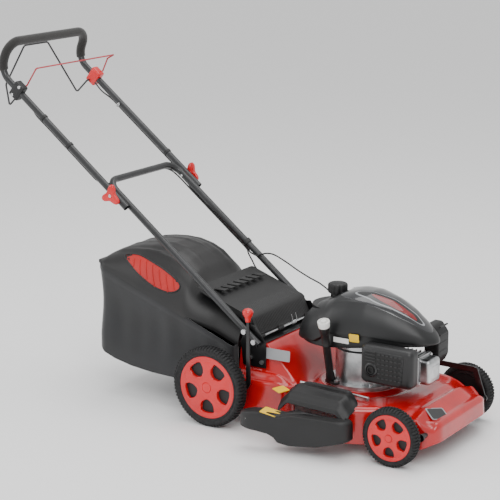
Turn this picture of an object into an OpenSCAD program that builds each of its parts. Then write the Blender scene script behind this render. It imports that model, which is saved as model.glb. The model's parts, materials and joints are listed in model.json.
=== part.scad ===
/* [Wheels] */
// Distance between the rear and the front wheel centres
wheelbase = 636; // [630:1:642]
// Diameter of a rear tyre
rear_wheel_d = 254; // [250:1:256]
// Diameter of a front tyre
front_wheel_d = 178; // [174:1:180]
// Width of a rear wheel
rear_wheel_w = 44; // [42:1:44]
// Width of a front wheel
front_wheel_w = 40; // [38:1:40]
// Outer wheel face to the middle of the mower
half_track = 270; // [270:1:276]

/* [Deck] */
// Height of the deck's flat top over the ground
deck_top = 150; // [148:1:150]
// Radius of the blade housing
housing_r = 262; // [258:1:264]
// Thickness of the pressed steel
sheet_t = 2.5; // [2:0.5:3]
// Blade length, tip to tip
blade_l = 480; // [460:10:480]

/* [Handle] */
// Slope of the handle over the ground
handle_slope = 38; // [38:1:39]
// Diameter of the handle tube
tube_d = 22; // [20:1:22]
// Middle of the mower to the middle of a lower handle leg
leg_y = 178; // [178:1:179]
// Lower handle pivot to its crossbar
lower_l = 711; // [700:1:720]
// Lower handle pivot to the knobs
knob_s = 655; // [650:1:660]
// Lower handle pivot to the upper handle's top bend
upper_l = 1235; // [1225:5:1240]

/* [Catcher] */
// Half the width of the grass catcher
catcher_half_w = 185; // [180:1:185]
// Thickness of the catcher's fabric
fabric_t = 2.5; // [2:0.5:3]

/* [Hidden] */
$fn = 48;

rear_r = rear_wheel_d / 2;
front_r = front_wheel_d / 2;
spindle_r = 6;
axle_r = 8;
running_gap = 0.05;
gap = 0.4;
bend_swell = 0.12;
bend_lap = 0.6;

// Cutting height: both crank axles turn together about these pivots (x, z)
rear_pivot = [85, 92];
front_pivot = [wheelbase + 75, front_r];
link_lug = [-30, 85];
arm_y = 208;
arm_t = 6;
link_y = 215.5;
link_t = 4;

crank_x = 400;
rear_edge_x = 52;
front_edge_x = wheelbase + 109;
hood_half_w = 158;
hood_top = 262;

// Handle frame: s runs up the leg from the lower pivot, n stands square to it
handle_x = 123;
handle_z = 274;
tube_r = tube_d / 2;
tube_wall = 1.5;
upper_y = leg_y + tube_d + 0.4;
lock_s = 45;

flap_hinge = [115, 277];
hinge_r = 4;

// Side door: its hinge line lies along the right side of the housing's top
door_angle = -5;
door_mid = [388, -153];
door_l = 226;
door_z = 158.6;

// ---------- helpers ----------
function hp(s, y, n = 0) = [
    handle_x - s * cos(handle_slope) + n * sin(handle_slope),
    y,
    handle_z + s * sin(handle_slope) + n * cos(handle_slope)
];
function unit(v) = v / norm(v);
function arc(c, r, a0, a1, steps) = [
    for (i = [0 : steps]) c + r * [cos(a0 + (a1 - a0) * i / steps), sin(a0 + (a1 - a0) * i / steps)]
];
function mirrored(pts) = [for (i = [len(pts) - 1 : -1 : 0]) [pts[i][0], -pts[i][1]]];

// Draws its children once on each side of the mower
module both_sides() {
    children();
    mirror([0, 1, 0]) children();
}

// Extrudes an (x, z) outline from y0 to y1
module side_plate(y0, y1) {
    translate([0, y1, 0]) rotate([90, 0, 0]) linear_extrude(y1 - y0) children();
}

// A cylinder from point a to point b
module rod(a, b, r) {
    v = b - a;
    tilt = acos(v[2] / norm(v));
    turn = atan2(v[1], v[0]);
    translate(a) rotate([0, tilt, turn]) cylinder(h = norm(v), r = r);
}

module bar_y(x, z, r, y0, y1) {
    translate([x, y1, z]) rotate([90, 0, 0]) cylinder(h = y1 - y0, r = r);
}

module section(r, wall) {
    difference() {
        circle(r);
        if (wall > 0) circle(r - wall);
    }
}

// A straight run of tube from a to b
module run(a, b, r, wall) {
    v = b - a;
    translate(a) rotate([0, acos(v[2] / norm(v)), atan2(v[1], v[0])])
        linear_extrude(norm(v)) section(r, wall);
}

// The bend at point p between directions u and v, a hair fatter than the runs that end in it
module bend(p, u, v, bend_r, r, wall) {
    turn = acos(max(-1, min(1, u * v)));
    start = p - u * bend_r * tan(turn / 2);
    side = unit(v - u * (u * v));
    centre = start + side * bend_r;
    e = -side;
    k = cross(e, u);
    multmatrix([
        [e[0], u[0], k[0], centre[0]],
        [e[1], u[1], k[1], centre[1]],
        [e[2], u[2], k[2], centre[2]],
        [0, 0, 0, 1]
    ]) rotate_extrude(angle = turn) translate([bend_r, 0])
        section(r + bend_swell, wall > 0 ? wall + 2 * bend_swell : 0);
}

// A bent tube or wire through the corner points, radii[i] at corner i; wall = 0 makes it solid
module bent_tube(pts, radii, r, wall = 0) {
    last = len(pts) - 1;
    dirs = [for (i = [0 : last - 1]) unit(pts[i + 1] - pts[i])];
    cuts = [for (i = [0 : last]) (i == 0 || i == last) ? 0
        : radii[i] * tan(acos(max(-1, min(1, dirs[i - 1] * dirs[i]))) / 2) - bend_lap];
    for (i = [0 : last - 1])
        run(pts[i] + dirs[i] * cuts[i], pts[i + 1] - dirs[i] * cuts[i + 1], r, wall);
    for (i = [1 : last - 1])
        bend(pts[i], dirs[i - 1], dirs[i], radii[i], r, wall);
}

// A cable: one polyhedron swept through the route's own points
module cable(pts, r, sides = 8) {
    last = len(pts) - 1;
    tans = [for (i = [0 : last]) unit(pts[min(i + 1, last)] - pts[max(i - 1, 0)])];
    rings = [for (i = [0 : last])
        let (side = unit(cross(tans[i], abs(tans[i][1]) > 0.9 ? [1, 0, 0] : [0, 1, 0])))
        let (up = cross(tans[i], side))
        for (k = [0 : sides - 1]) pts[i] + r * (side * cos(360 * k / sides) + up * sin(360 * k / sides))];
    walls = [for (i = [0 : last - 1], k = [0 : sides - 1])
        [i * sides + k, i * sides + (k + 1) % sides, (i + 1) * sides + (k + 1) % sides, (i + 1) * sides + k]];
    caps = [
        [for (k = [sides - 1 : -1 : 0]) k],
        [for (k = [0 : sides - 1]) last * sides + k]
    ];
    polyhedron(rings, concat(walls, caps));
}

// ---------- deck ----------
// Plan outline of the pan, drawn inwards by t
function half_plan(t) = concat(
    [[rear_edge_x + t, -195 + t]],
    arc([crank_x, 0], housing_r - t, -132, -52, 16),
    arc([front_edge_x - 60, -132], 60 - t, -90, 0, 8)
);
function pan_plan(t) = concat(half_plan(t), mirrored(half_plan(t)));
function pan_side(t) = [
    [0, t > 0 ? -10 : 36], [0, deck_top - t], [640, deck_top - t], [700, 130 - t],
    [front_edge_x - t, 100 - t], [front_edge_x - t, t > 0 ? -10 : 58],
    [690, t > 0 ? -10 : 48], [600, t > 0 ? -10 : 36]
];
function hood_side(t) = [
    [rear_edge_x + t, deck_top - 20], [rear_edge_x + t, hood_top - t],
    [128, hood_top - t], [268, deck_top - 8 - t], [268, deck_top - 20]
];

module pan(t) {
    intersection() {
        linear_extrude(400, center = true) polygon(pan_plan(t));
        side_plate(-400, 400) polygon(pan_side(t));
    }
}

module deck() {
    color("red") difference() {
        union() {
            pan(0);
            side_plate(-hood_half_w, hood_half_w) polygon(hood_side(0));
        }
        pan(sheet_t);
        side_plate(-hood_half_w + sheet_t, hood_half_w - sheet_t) polygon(hood_side(sheet_t));
        // rear mouth, side discharge opening, crankshaft opening
        translate([rear_edge_x - 5, -148, 152]) cube([12, 296, 98]);
        translate([300, -300, 52]) cube([190, 120, 82]);
        translate([crank_x, 0, deck_top - 10]) cylinder(h = 20, r = 58);
        bar_y(rear_pivot[0], rear_pivot[1], axle_r + running_gap, -300, 300);
        bar_y(front_pivot[0], front_pivot[1], axle_r + running_gap, -300, 300);
    }
}

module hinge_rail() {
    color("dimgray") {
        side_plate(-156, 156) polygon([
            [92, hood_top], [140, hood_top], [140, hood_top + 3], [104, hood_top + 3],
            [104, hood_top + 14], [92, hood_top + 14]
        ]);
    }
}

bracket_y = leg_y - tube_r - gap;
bracket_t = 3;
boss_spots = [[96, 215], [138, 206]];
module handle_brackets() {
    color("black") both_sides() difference() {
        union() {
            side_plate(-bracket_y, -bracket_y + bracket_t) polygon([
                [60, 262], [80, 318], [112, 322], [152, 268], [152, 188], [70, 188]
            ]);
            for (b = boss_spots) bar_y(b[0], b[1], 9, -bracket_y + 1, -hood_half_w);
        }
        for (s = [0, lock_s]) translate(hp(s, 0)) rotate([90, 0, 0]) cylinder(h = 400, r = 4, center = true);
        bar_y(flap_hinge[0], flap_hinge[1], hinge_r + running_gap, -200, 0);
    }
}

// A bolt through a handle leg, from its head outside to length l inside
module leg_bolt(s_at, l) {
    translate(hp(s_at, -leg_y - tube_r - 6)) rotate([-90, 0, 0]) {
        cylinder(h = 6, r = 8);
        cylinder(h = 6 + l, r = 4 - running_gap);
    }
}

// Pivot bolts of the lower handle, bracket bolts and engine bolts
module deck_bolts() {
    color("silver") {
        both_sides() {
            leg_bolt(0, tube_d + gap + bracket_t);
            for (b = boss_spots) bar_y(b[0], b[1], 7, -bracket_y - 5, -bracket_y);
        }
        for (a = [45 : 90 : 315]) translate([crank_x, 0, deck_top + 10]) rotate([0, 0, a])
            translate([92, 0, 0]) cylinder(h = 7, r = 7);
    }
}

module hinge_rods() {
    color("silver") {
        bar_y(flap_hinge[0], flap_hinge[1], hinge_r, -166, 166);
        translate([door_mid[0], door_mid[1], door_z]) rotate([0, 0, door_angle]) rotate([0, 90, 0])
            cylinder(h = door_l + 24, r = hinge_r, center = true);
        // two ears that carry the side rod
        translate([door_mid[0], door_mid[1], deck_top]) rotate([0, 0, door_angle]) for (k = [-1, 1])
            translate([k * (door_l / 2 + 7) - 2, -6, 0]) cube([4, 12, 4]);
    }
}

// ---------- engine ----------
module engine_base() {
    color("silver") difference() {
        union() {
            translate([crank_x, 0, deck_top]) cylinder(h = 10, r = 108);
            translate([crank_x, 0, deck_top + 10]) cylinder(h = 100, r = 84);
            translate([crank_x + 60, -44, 178]) cube([36, 88, 84]);
            translate([crank_x - 78, 40, 250]) cube([24, 60, 10]);
        }
        translate([crank_x, 0, deck_top + 20]) cylinder(h = 80, r = 74);
        translate([crank_x, 0, deck_top - 1]) cylinder(h = 120, r = 12.5 + running_gap);
    }
}

module cylinder_block() {
    color("silver") {
        difference() {
            translate([crank_x + 96, -38, 184]) cube([104, 76, 72]);
            translate([crank_x + 95, 0, 220]) rotate([0, 90, 0]) cylinder(h = 86, r = 30);
        }
        for (i = [0 : 6]) difference() {
            translate([crank_x + 102 + i * 14, -47, 175]) cube([4, 94, 90]);
            translate([crank_x + 101 + i * 14, -38, 184]) cube([6, 76, 72]);
        }
    }
}

module valve_cover() {
    color("silver") {
        translate([crank_x + 200, -42, 178]) cube([34, 84, 90]);
        translate([crank_x + 234, -34, 186]) cube([14, 68, 74]);
    }
}

// Perforated guard over the exhaust box, open on the engine side
guard_x = [469, 642];
guard_y = [-152, -92];
guard_z = [197, 315];
outlet = [510, 243];
module muffler_guard() {
    color("dimgray") difference() {
        side_plate(guard_y[0], guard_y[1]) polygon(guard_outline(0));
        side_plate(guard_y[0] + 3, guard_y[1] + 1) polygon(guard_outline(3));
        translate([outlet[0], -140, outlet[1]]) rotate([90, 0, 0]) cylinder(h = 40, r = 14);
        for (i = [0 : 4], k = [0 : 4])
            translate([540 + i * 18, guard_y[0] - 1, guard_z[0] + 24 + k * 17]) cube([11, 5, 7]);
        for (i = [0 : 3]) translate([500 + i * 28, -126, guard_z[1] - 5]) cube([18, 12, 10]);
    }
}
function guard_outline(t) = concat(
    arc([guard_x[0] + 20, guard_z[0] + 20], 20 - t, 180, 270, 5),
    arc([guard_x[1] - 20, guard_z[0] + 20], 20 - t, 270, 360, 5),
    arc([guard_x[1] - 20, guard_z[1] - 20], 20 - t, 0, 90, 5),
    arc([guard_x[0] + 20, guard_z[1] - 20], 20 - t, 90, 180, 5)
);

module muffler() {
    color("gray") {
        translate([490, -138, 212]) cube([122, 76, 68]);
        translate([outlet[0], -138, outlet[1]]) rotate([90, 0, 0]) difference() {
            cylinder(h = 16, r = 11);
            translate([0, 0, 4]) cylinder(h = 14, r = 8);
        }
    }
}

module air_filter_cover() {
    color("black") difference() {
        side_plate(66, 132) polygon([[574, 216], [612, 216], [624, 236], [624, 318], [608, 340], [574, 340]]);
        side_plate(60, 128) polygon([[578, 220], [610, 220], [620, 238], [620, 316], [606, 336], [578, 336]]);
    }
}

// Teardrop cover: a wide dome over the flywheel that runs out to a nose in front
module shroud_form(t) {
    hull() {
        translate([318, 0, 272 - (t > 0 ? 9 : 0)]) cylinder(h = 40, r = 119 - t, $fn = 40);
        translate([316, 0, 372 - t]) cylinder(h = 16, r = 106 - t, $fn = 32);
        translate([306, 0, 402 - t]) cylinder(h = 8, r = 74 - t, $fn = 32);
        translate([440, 0, 434 - t]) cylinder(h = 11, r = 50 - t, $fn = 32);
        translate([600, 0, 300 - (t > 0 ? 9 : 0)]) cylinder(h = 44, r = 54 - t, $fn = 32);
        translate([585, 0, 372 - t]) cylinder(h = 12, r = 40 - t, $fn = 32);
    }
}
cap_z = 416;
cap_at = [308, 0];
module shroud() {
    color("dimgray") difference() {
        shroud_form(0);
        shroud_form(3);
        translate([cap_at[0], cap_at[1], 380]) cylinder(h = 80, r = 35);
    }
}

module fuel_tank() {
    color("black") difference() {
        union() {
            translate([316, 0, 318]) cylinder(h = 66, r = 84);
            translate([cap_at[0], cap_at[1], 384]) cylinder(h = 50, r = 22);
        }
        translate([316, 0, 321]) cylinder(h = 60, r = 81);
        translate([cap_at[0], cap_at[1], 370]) cylinder(h = 80, r = 19);
    }
}

oil_foot = [344, -97, 162];
oil_top = [352, -156, 352];
// The dipstick tube and, close under its slanted end, the foot that bolts to the flange
module oil_tube() {
    rise = oil_top - oil_foot;
    color("black") {
        difference() {
            rod(oil_foot + 0.05 * rise, oil_top, 12);
            rod(oil_foot + 0.15 * rise, oil_top + 0.1 * rise, 8.5);
        }
        translate([oil_foot[0] - 18, oil_foot[1] - 16, 160.3]) cube([38, 31, 6]);
    }
}

module gearbox() {
    color("gray") difference() {
        translate([56, 44, 68]) cube([74, 64, 44]);
        translate([62, 50, 102]) cube([40, 52, 4]);
        bar_y(rear_pivot[0], rear_pivot[1], axle_r + running_gap, 40, 112);
        translate([112, 76, 104]) cylinder(h = 10, r = 6 + running_gap);
    }
}

belt_z = 116;
belt_r = 29;
gear_at = [112, 76];
module belt_outline(r) {
    hull() {
        translate([crank_x, 0]) circle(r);
        translate(gear_at) circle(r);
    }
}
module belt() {
    color("black") translate([0, 0, belt_z]) linear_extrude(9) difference() {
        belt_outline(belt_r + 7);
        belt_outline(belt_r);
    }
}

// ---------- rotor ----------
module crankshaft() {
    color("silver") difference() {
        union() {
            translate([crank_x, 0, 62]) cylinder(h = 236, r = 12.5);
            for (z = [196, 216]) translate([crank_x, 0, z]) cylinder(h = 8, r = 38);
            translate([crank_x + 22, 0, 200]) cylinder(h = 20, r = 10);
        }
        translate([crank_x, 0, 61]) cylinder(h = 30, r = 5);
    }
}

module flywheel() {
    color("gray") translate([crank_x, 0, 266]) difference() {
        union() {
            cylinder(h = 12, r = 82);
            for (a = [0 : 20 : 340]) rotate([0, 0, a]) translate([52, -1.5, 11]) cube([28, 3, 17]);
            cylinder(h = 30, r = 22);
        }
        translate([0, 0, -1]) cylinder(h = 40, r = 12.5);
    }
}

module pulley(h, r, bore) {
    difference() {
        union() {
            cylinder(h = 3, r = r + 8);
            cylinder(h = h, r = r);
            translate([0, 0, h - 3]) cylinder(h = 3, r = r + 8);
        }
        translate([0, 0, -1]) cylinder(h = h + 2, r = bore);
    }
}

module blade_pulley() {
    color("gray") {
        translate([crank_x, 0, belt_z - 3 - gap]) pulley(15 + 2 * gap, belt_r - gap, 12.5);
        translate([crank_x, 0, 62]) difference() {
            cylinder(h = belt_z - 65 - gap, r = 22);
            translate([0, 0, -1]) cylinder(h = 80, r = 12.5);
        }
    }
}

module blade() {
    color("dimgray") translate([crank_x, 0, 58]) difference() {
        union() {
            translate([-blade_l / 2, -26, 0]) cube([blade_l, 52, 4]);
            for (a = [0, 180]) rotate([0, 0, a]) translate([blade_l / 2 - 70, 22, 0]) rotate([35, 0, 0])
                cube([68, 22, 4]);
        }
        translate([0, 0, -1]) cylinder(h = 6, r = 5.2);
    }
}

module blade_bolt() {
    color("silver") translate([crank_x, 0, 46]) {
        cylinder(h = 8, r = 11, $fn = 6);
        translate([0, 0, 8]) cylinder(h = 4, r = 20);
        cylinder(h = 44, r = 5);
    }
}

module gearbox_pulley() {
    color("gray") translate([gear_at[0], gear_at[1], 0]) {
        translate([0, 0, belt_z - 3 - gap]) pulley(15 + 2 * gap, belt_r - gap, 6);
        translate([0, 0, 105]) cylinder(h = 26, r = 6);
    }
}

module fuel_cap() {
    color("black") translate([cap_at[0], cap_at[1], cap_z]) difference() {
        union() {
            cylinder(h = 34, r = 28);
            for (a = [0 : 30 : 330]) rotate([0, 0, a]) translate([27, 0, 0]) cylinder(h = 24, r = 4);
        }
        translate([0, 0, -1]) cylinder(h = 20, r = 22 + gap);
    }
}

module oil_cap() {
    v = oil_top - oil_foot;
    color("black") translate(oil_top) rotate([0, acos(v[2] / norm(v)), atan2(v[1], v[0])]) {
        translate([0, 0, gap]) cylinder(h = 14, r = 17);
        translate([0, 0, 14 + gap]) cylinder(h = 8, r = 12);
        translate([0, 0, -90]) cylinder(h = 90 + gap, r = 3);
    }
}

// ---------- rear flap and side discharge ----------
knuckle_r = 8;
module rear_flap() {
    color("black") difference() {
        union() {
            side_plate(-154, 154) polygon([
                [110, 284], [118, 284], [93, 337], [85, 343], [-108, 409], [-112, 405], [-111, 401], [82, 336]
            ]);
            both_sides() side_plate(-158, -154) polygon([
                [106, 290], [93, 337], [85, 343], [-108, 409], [-104, 398], [60, 330]
            ]);
            for (y = [-150, -40, 120]) {
                bar_y(flap_hinge[0], flap_hinge[1], knuckle_r, y, y + 30);
                side_plate(y, y + 30) polygon([[109, 278], [121, 278], [118, 290], [108, 290]]);
            }
        }
        bar_y(flap_hinge[0], flap_hinge[1], hinge_r + running_gap, -200, 200);
    }
}

// Torsion spring round the hinge rod: its coil and two legs
module flap_spring() {
    y0 = 40;
    y1 = 70;
    color("silver") difference() {
        union() {
            bar_y(flap_hinge[0], flap_hinge[1], 7, y0, y1);
            for (y = [y0 + 2, y1 - 2]) rod([flap_hinge[0] + 6, y, flap_hinge[1] + 2], [113.5, y, 322], 1.5);
        }
        bar_y(flap_hinge[0], flap_hinge[1], hinge_r + running_gap, y0 - 1, y1 + 1);
    }
}

module in_door_frame() {
    translate([door_mid[0], door_mid[1], 0]) rotate([0, 0, door_angle]) children();
}

// Profile of the door across its hinge: out and gently down (distance, height)
module side_door() {
    color("black") in_door_frame() rotate([90, 0, 90]) translate([0, 0, -door_l / 2]) {
        difference() {
            union() {
                translate([0, door_z, 0]) cylinder(h = door_l, r = hinge_r + 4);
                linear_extrude(door_l) polygon([
                    [-5, door_z + 5.5], [-5, door_z + 2], [-60, door_z + 3], [-116, door_z - 10], [-116, door_z - 16],
                    [-120, door_z - 16], [-120, door_z - 7], [-62, door_z + 7]
                ]);
            }
            translate([0, door_z, -1]) cylinder(h = door_l + 2, r = hinge_r + running_gap);
        }
    }
}

// Scoop below the door: floor, outer wall and front wall, open to the deck and to the rear
module chute_form(t, lift) {
    hull() {
        translate([500, -306, 34 + lift]) cylinder(h = 92, r = 22 - t, $fn = 24);
        translate([500, -290, 34 + lift]) cylinder(h = 92, r = 22 - t, $fn = 24);
        translate([318, -277, 34 + lift]) cylinder(h = 92, r = 12 - t, $fn = 24);
        translate([196, -344, 30 + lift]) cylinder(h = 46, r = 20 - t, $fn = 24);
        translate([300, -330, 34 + lift]) cylinder(h = 62, r = 20 - t, $fn = 24);
    }
}
module side_chute() {
    color("black") difference() {
        chute_form(0, 0);
        chute_form(3, 3);
        translate([330, -290, 56]) cube([150, 60, 90]);
        translate([150, -350, 52]) cube([40, 60, 60]);
        translate([300, -320, 90]) cube([190, 60, 60]);
    }
}

// ---------- axles and height adjustment ----------
// A flat crank arm between two eyes at (x, z) points a and b
module arm(a, b, y0, t, ra, rb) {
    v = b - a;
    w = min(ra, rb) - 0.5;
    side = [-v[1], v[0]] / norm(v) * w;
    bar_y(a[0], a[1], ra, y0, y0 + t);
    bar_y(b[0], b[1], rb, y0, y0 + t);
    side_plate(y0, y0 + t) polygon([a + side, a - side, b - side, b + side]);
}

// Cross bar, two crank arms with wheel spindles, and the link's lug on the left arm
module crank_axle(pivot, spindle, reach, pinned) {
    lug = pivot + link_lug;
    color("dimgray") difference() {
        union() {
            bar_y(pivot[0], pivot[1], axle_r, -arm_y - 1, arm_y + 1);
            both_sides() {
                arm(pivot, spindle, -arm_y - arm_t, arm_t, 12, 9);
                bar_y(spindle[0], spindle[1], spindle_r, -reach, -arm_y - 1);
            }
            arm(pivot, lug, arm_y, arm_t, 12, 9);
            if (pinned) bar_y(lug[0], lug[1], 4, arm_y + 1, link_y + link_t + 1);
        }
        if (!pinned) bar_y(lug[0], lug[1], 5, arm_y - 1, arm_y + arm_t + 1);
    }
}

module rear_axle() {
    crank_axle(rear_pivot, [0, rear_r], half_track - 8, false);
}

module front_axle() {
    crank_axle(front_pivot, [wheelbase, front_r], half_track - 11, true);
}

lever_top = [122, 372];
module height_lever() {
    color("black") {
        side_plate(-223, -219) polygon([
            [76, 84], [94, 84], [132, 150], [126, 352], [118, 352], [116, 160]
        ]);
        bar_y(rear_pivot[0], rear_pivot[1], 9, -219, -arm_y - arm_t);
    }
}

module height_knob() {
    color("red") translate([lever_top[0], -221, 352]) difference() {
        union() {
            translate([0, 0, 20]) sphere(17);
            translate([0, 0, -6]) cylinder(h = 20, r = 8);
        }
        translate([-8, -2, -10]) cube([16, 4, 10]);
    }
}

// Parallel link from the rear crank's lug to the front one, whose pin has play in its eye
module link_rod() {
    a = rear_pivot + link_lug;
    b = front_pivot + link_lug;
    color("black") difference() {
        union() {
            arm(a, b, link_y, link_t, 9, 9);
            bar_y(a[0], a[1], 5 - running_gap, arm_y - 1, link_y + 1);
        }
        bar_y(b[0], b[1], 5, link_y - 1, link_y + link_t + 1);
    }
}

// ---------- wheels ----------
// Half section of a tyre, spun about the wheel's axis (radius, width)
module tyre(r, w, rim_r) {
    color("black") rotate([90, 0, 0]) rotate_extrude($fn = 96) polygon([
        [rim_r, -w / 2 + 5], [rim_r + 5, -w / 2], [r - 7, -w / 2], [r, -w / 2 + 8],
        [r, w / 2 - 8], [r - 7, w / 2], [rim_r + 5, w / 2], [rim_r, w / 2 - 5]
    ]);
}

module wheel_disc(rim_r, w) {
    window_in = rim_r * 0.42;
    window_out = rim_r * 0.82;
    color("red") rotate([90, 0, 0]) difference() {
        union() {
            rotate_extrude($fn = 96) polygon([
                [spindle_r + running_gap, -w / 2 + 8], [20, -w / 2 + 8], [20, w / 2 - 14],
                [rim_r - 6, w / 2 - 8], [rim_r - 6, -w / 2 + 5.2], [rim_r, -w / 2 + 5.2],
                [rim_r, w / 2 - 5.2], [20, w / 2 - 2], [spindle_r + running_gap, w / 2 - 2]
            ]);
        }
        for (a = [0 : 72 : 288]) rotate([0, 0, a + 18]) linear_extrude(w, center = true) polygon([
            [window_in, -3], [window_out * 0.95, -window_out * 0.33], [window_out, 0],
            [window_out * 0.95, window_out * 0.33], [window_in, 3]
        ]);
    }
}

module place_wheel(x, r, w, side) {
    translate([x, side * (half_track - w / 2), r]) rotate([0, 0, side > 0 ? 180 : 0]) children();
}

rear_rim_r = 98;
front_rim_r = 69;
module tyre_rear_right() { place_wheel(0, rear_r, rear_wheel_w, -1) tyre(rear_r, rear_wheel_w, rear_rim_r); }
module tyre_rear_left() { place_wheel(0, rear_r, rear_wheel_w, 1) tyre(rear_r, rear_wheel_w, rear_rim_r); }
module tyre_front_right() {
    place_wheel(wheelbase, front_r, front_wheel_w, -1) tyre(front_r, front_wheel_w, front_rim_r);
}
module tyre_front_left() {
    place_wheel(wheelbase, front_r, front_wheel_w, 1) tyre(front_r, front_wheel_w, front_rim_r);
}
module disc_rear_right() { place_wheel(0, rear_r, rear_wheel_w, -1) wheel_disc(rear_rim_r, rear_wheel_w); }
module disc_rear_left() { place_wheel(0, rear_r, rear_wheel_w, 1) wheel_disc(rear_rim_r, rear_wheel_w); }
module disc_front_right() {
    place_wheel(wheelbase, front_r, front_wheel_w, -1) wheel_disc(front_rim_r, front_wheel_w);
}
module disc_front_left() {
    place_wheel(wheelbase, front_r, front_wheel_w, 1) wheel_disc(front_rim_r, front_wheel_w);
}

// ---------- handle ----------
module knob_bores() {
    for (side = [-1, 1]) translate(hp(knob_s, side * upper_y)) rotate([90, 0, 0])
        cylinder(h = 120, r = 4 + running_gap, center = true);
}

module lower_handle() {
    color("dimgray") difference() {
        bent_tube([hp(-14, -leg_y), hp(lower_l, -leg_y), hp(lower_l, leg_y), hp(-14, leg_y)],
            [0, 45, 45, 0], tube_r, tube_wall);
        for (s = [0, lock_s]) translate(hp(s, 0)) rotate([90, 0, 0]) cylinder(h = 500, r = 4, center = true);
        knob_bores();
    }
}

// The leg turns from its slope to an upright that leans forward, then into the crossbar
top_lean = 68;
top_bend_r = 60;
corner_r = 48;
upright = 104;
leg_dir = [-cos(handle_slope), 0, sin(handle_slope)];
top_dir = [cos(top_lean), 0, sin(top_lean)];
leg_corner = hp(upper_l, 0);
bar_point = leg_corner + top_dir * upright;
function at_y(p, y) = [p[0], y, p[2]];
function u_path(a, b, y) = [at_y(a, -y), at_y(b, -y), at_y(bar_point, -y), at_y(bar_point, y), at_y(b, y), at_y(a, y)];

module upper_handle() {
    color("dimgray") difference() {
        bent_tube(u_path(hp(595, 0), leg_corner, upper_y),
            [0, top_bend_r, corner_r, corner_r, top_bend_r, 0], tube_r, tube_wall);
        knob_bores();
    }
}

// Foam sleeve from the middle of one top bend over the crossbar to the other
grip_wall = 3.5;
module grip() {
    turn = acos(leg_dir * top_dir);
    start = leg_corner - leg_dir * top_bend_r * tan(turn / 2);
    centre = start + unit(top_dir - leg_dir * (leg_dir * top_dir)) * top_bend_r;
    middle = centre + unit(leg_corner - centre) * top_bend_r;
    half_way = unit(leg_dir + top_dir);
    color("black") bent_tube(u_path(middle, middle + half_way * top_bend_r * tan(turn / 4), upper_y),
        [0, top_bend_r, corner_r, corner_r, top_bend_r, 0], tube_r + 0.4 + grip_wall, grip_wall);
}

// Three-lobed clamping knob with its moulded-in stud
module knob(side) {
    color("red") translate(hp(knob_s, side * (upper_y + tube_r + gap))) rotate([0, handle_slope, 0])
        rotate([-90 * side, 0, 0]) difference() {
            union() {
                cylinder(h = 14, r = 15);
                for (a = [0, 120, 240]) rotate([0, 0, a]) translate([0, -7, 2]) cube([30, 14, 12]);
                for (a = [0, 120, 240]) rotate([0, 0, a]) translate([30, 0, 2]) cylinder(h = 12, r = 7);
                translate([0, 0, -2 * tube_d - 2]) cylinder(h = 2 * tube_d + 4, r = 4);
            }
            translate([0, 0, 12]) cylinder(h = 4, r = 6);
        }
}
module knob_right() { knob(-1); }
module knob_left() { knob(1); }

// Bolts that lock the lower handle in its working height
module lock_bolts() {
    color("silver") both_sides() leg_bolt(lock_s, tube_d);
}

module lower_cable_clip() {
    color("black") difference() {
        translate(hp(334, leg_y)) rotate([0, -90 + handle_slope, 0]) linear_extrude(14, center = true) difference() {
            circle(tube_r + 4);
            circle(tube_r);
        }
        for (y = [leg_y, leg_y - 7]) run(hp(300, y, cable_n), hp(370, y, cable_n), cable_r + cable_slack, 0);
    }
}

// Both bails pivot in blocks on the upper handle, one behind and one in front of the tube
opc_pivot = hp(1146, 0, -19);
drive_pivot = hp(1138, 0, 20);
opc_r = 3;
drive_r = 2.5;
wire_bend = 6;
module opc_bail() {
    p = opc_pivot;
    pin = upper_y - 4;
    y = 176;
    elbow_y = 156;
    half_top = 60;
    spike = [p[0] - 46, 0, p[2] - 44];
    elbow = [p[0] - 76, 0, p[2] + 20];
    top = [p[0] - 74, 0, p[2] + 138];
    color("black") bent_tube([
        at_y(p, -pin), at_y(p, -y), at_y(spike, -y), at_y(elbow, -elbow_y), at_y(top, -half_top),
        at_y(top, half_top), at_y(elbow, elbow_y), at_y(spike, y), at_y(p, y), at_y(p, pin)
    ], [0, wire_bend, wire_bend, 20, 16, 16, 20, wire_bend, wire_bend, 0], opc_r);
}

module drive_bail() {
    p = drive_pivot;
    top = [p[0] + 42, 0, p[2] + 60];
    back = [p[0] + 14, 0, p[2] + 46];
    near = -176;
    far = upper_y + 34;
    color("firebrick") bent_tube([
        at_y(p, -upper_y + 4), at_y(p, near), at_y(top, near), at_y(top, far),
        at_y(back, far), at_y(p, upper_y + 22), at_y(p, upper_y - 4)
    ], [0, wire_bend, wire_bend, wire_bend, wire_bend, wire_bend, 0], drive_r);
}

module bail_mounts() {
    inner = tube_r + 3;
    color("black") both_sides() difference() {
        translate(hp(1142, -upper_y)) rotate([0, handle_slope, 0]) translate([-20, -inner, -27])
            cube([40, 2 * inner, 54]);
        run(hp(1100, -upper_y), hp(1200, -upper_y), tube_r, 0);
        bar_y(opc_pivot[0], opc_pivot[2], opc_r + running_gap, -upper_y - 6, 0);
        bar_y(drive_pivot[0], drive_pivot[2], drive_r + running_gap, -upper_y - 40, 0);
    }
}

module cable_clips() {
    color("black") for (spot = [[880, -1], [1010, -1], [760, 1]])
        translate(hp(spot[0], spot[1] * upper_y)) rotate([0, -90 + handle_slope, 0]) linear_extrude(9, center = true)
            difference() {
                circle(tube_r + 2.5);
                circle(tube_r);
                translate([cable_n, 0]) circle(cable_r + cable_slack);
            }
}

// Loop that parks the starter rope's grip on the left leg
module rope_guide() {
    color("silver") translate(hp(1000, upper_y - tube_r - 9.6)) rotate([0, handle_slope, 0]) {
        rotate([90, 0, 90]) rotate_extrude() translate([7, 0]) circle(2);
        translate([0, 7, 0]) rotate([-90, 0, 0]) cylinder(h = 2.5, r = 2);
    }
}

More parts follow.
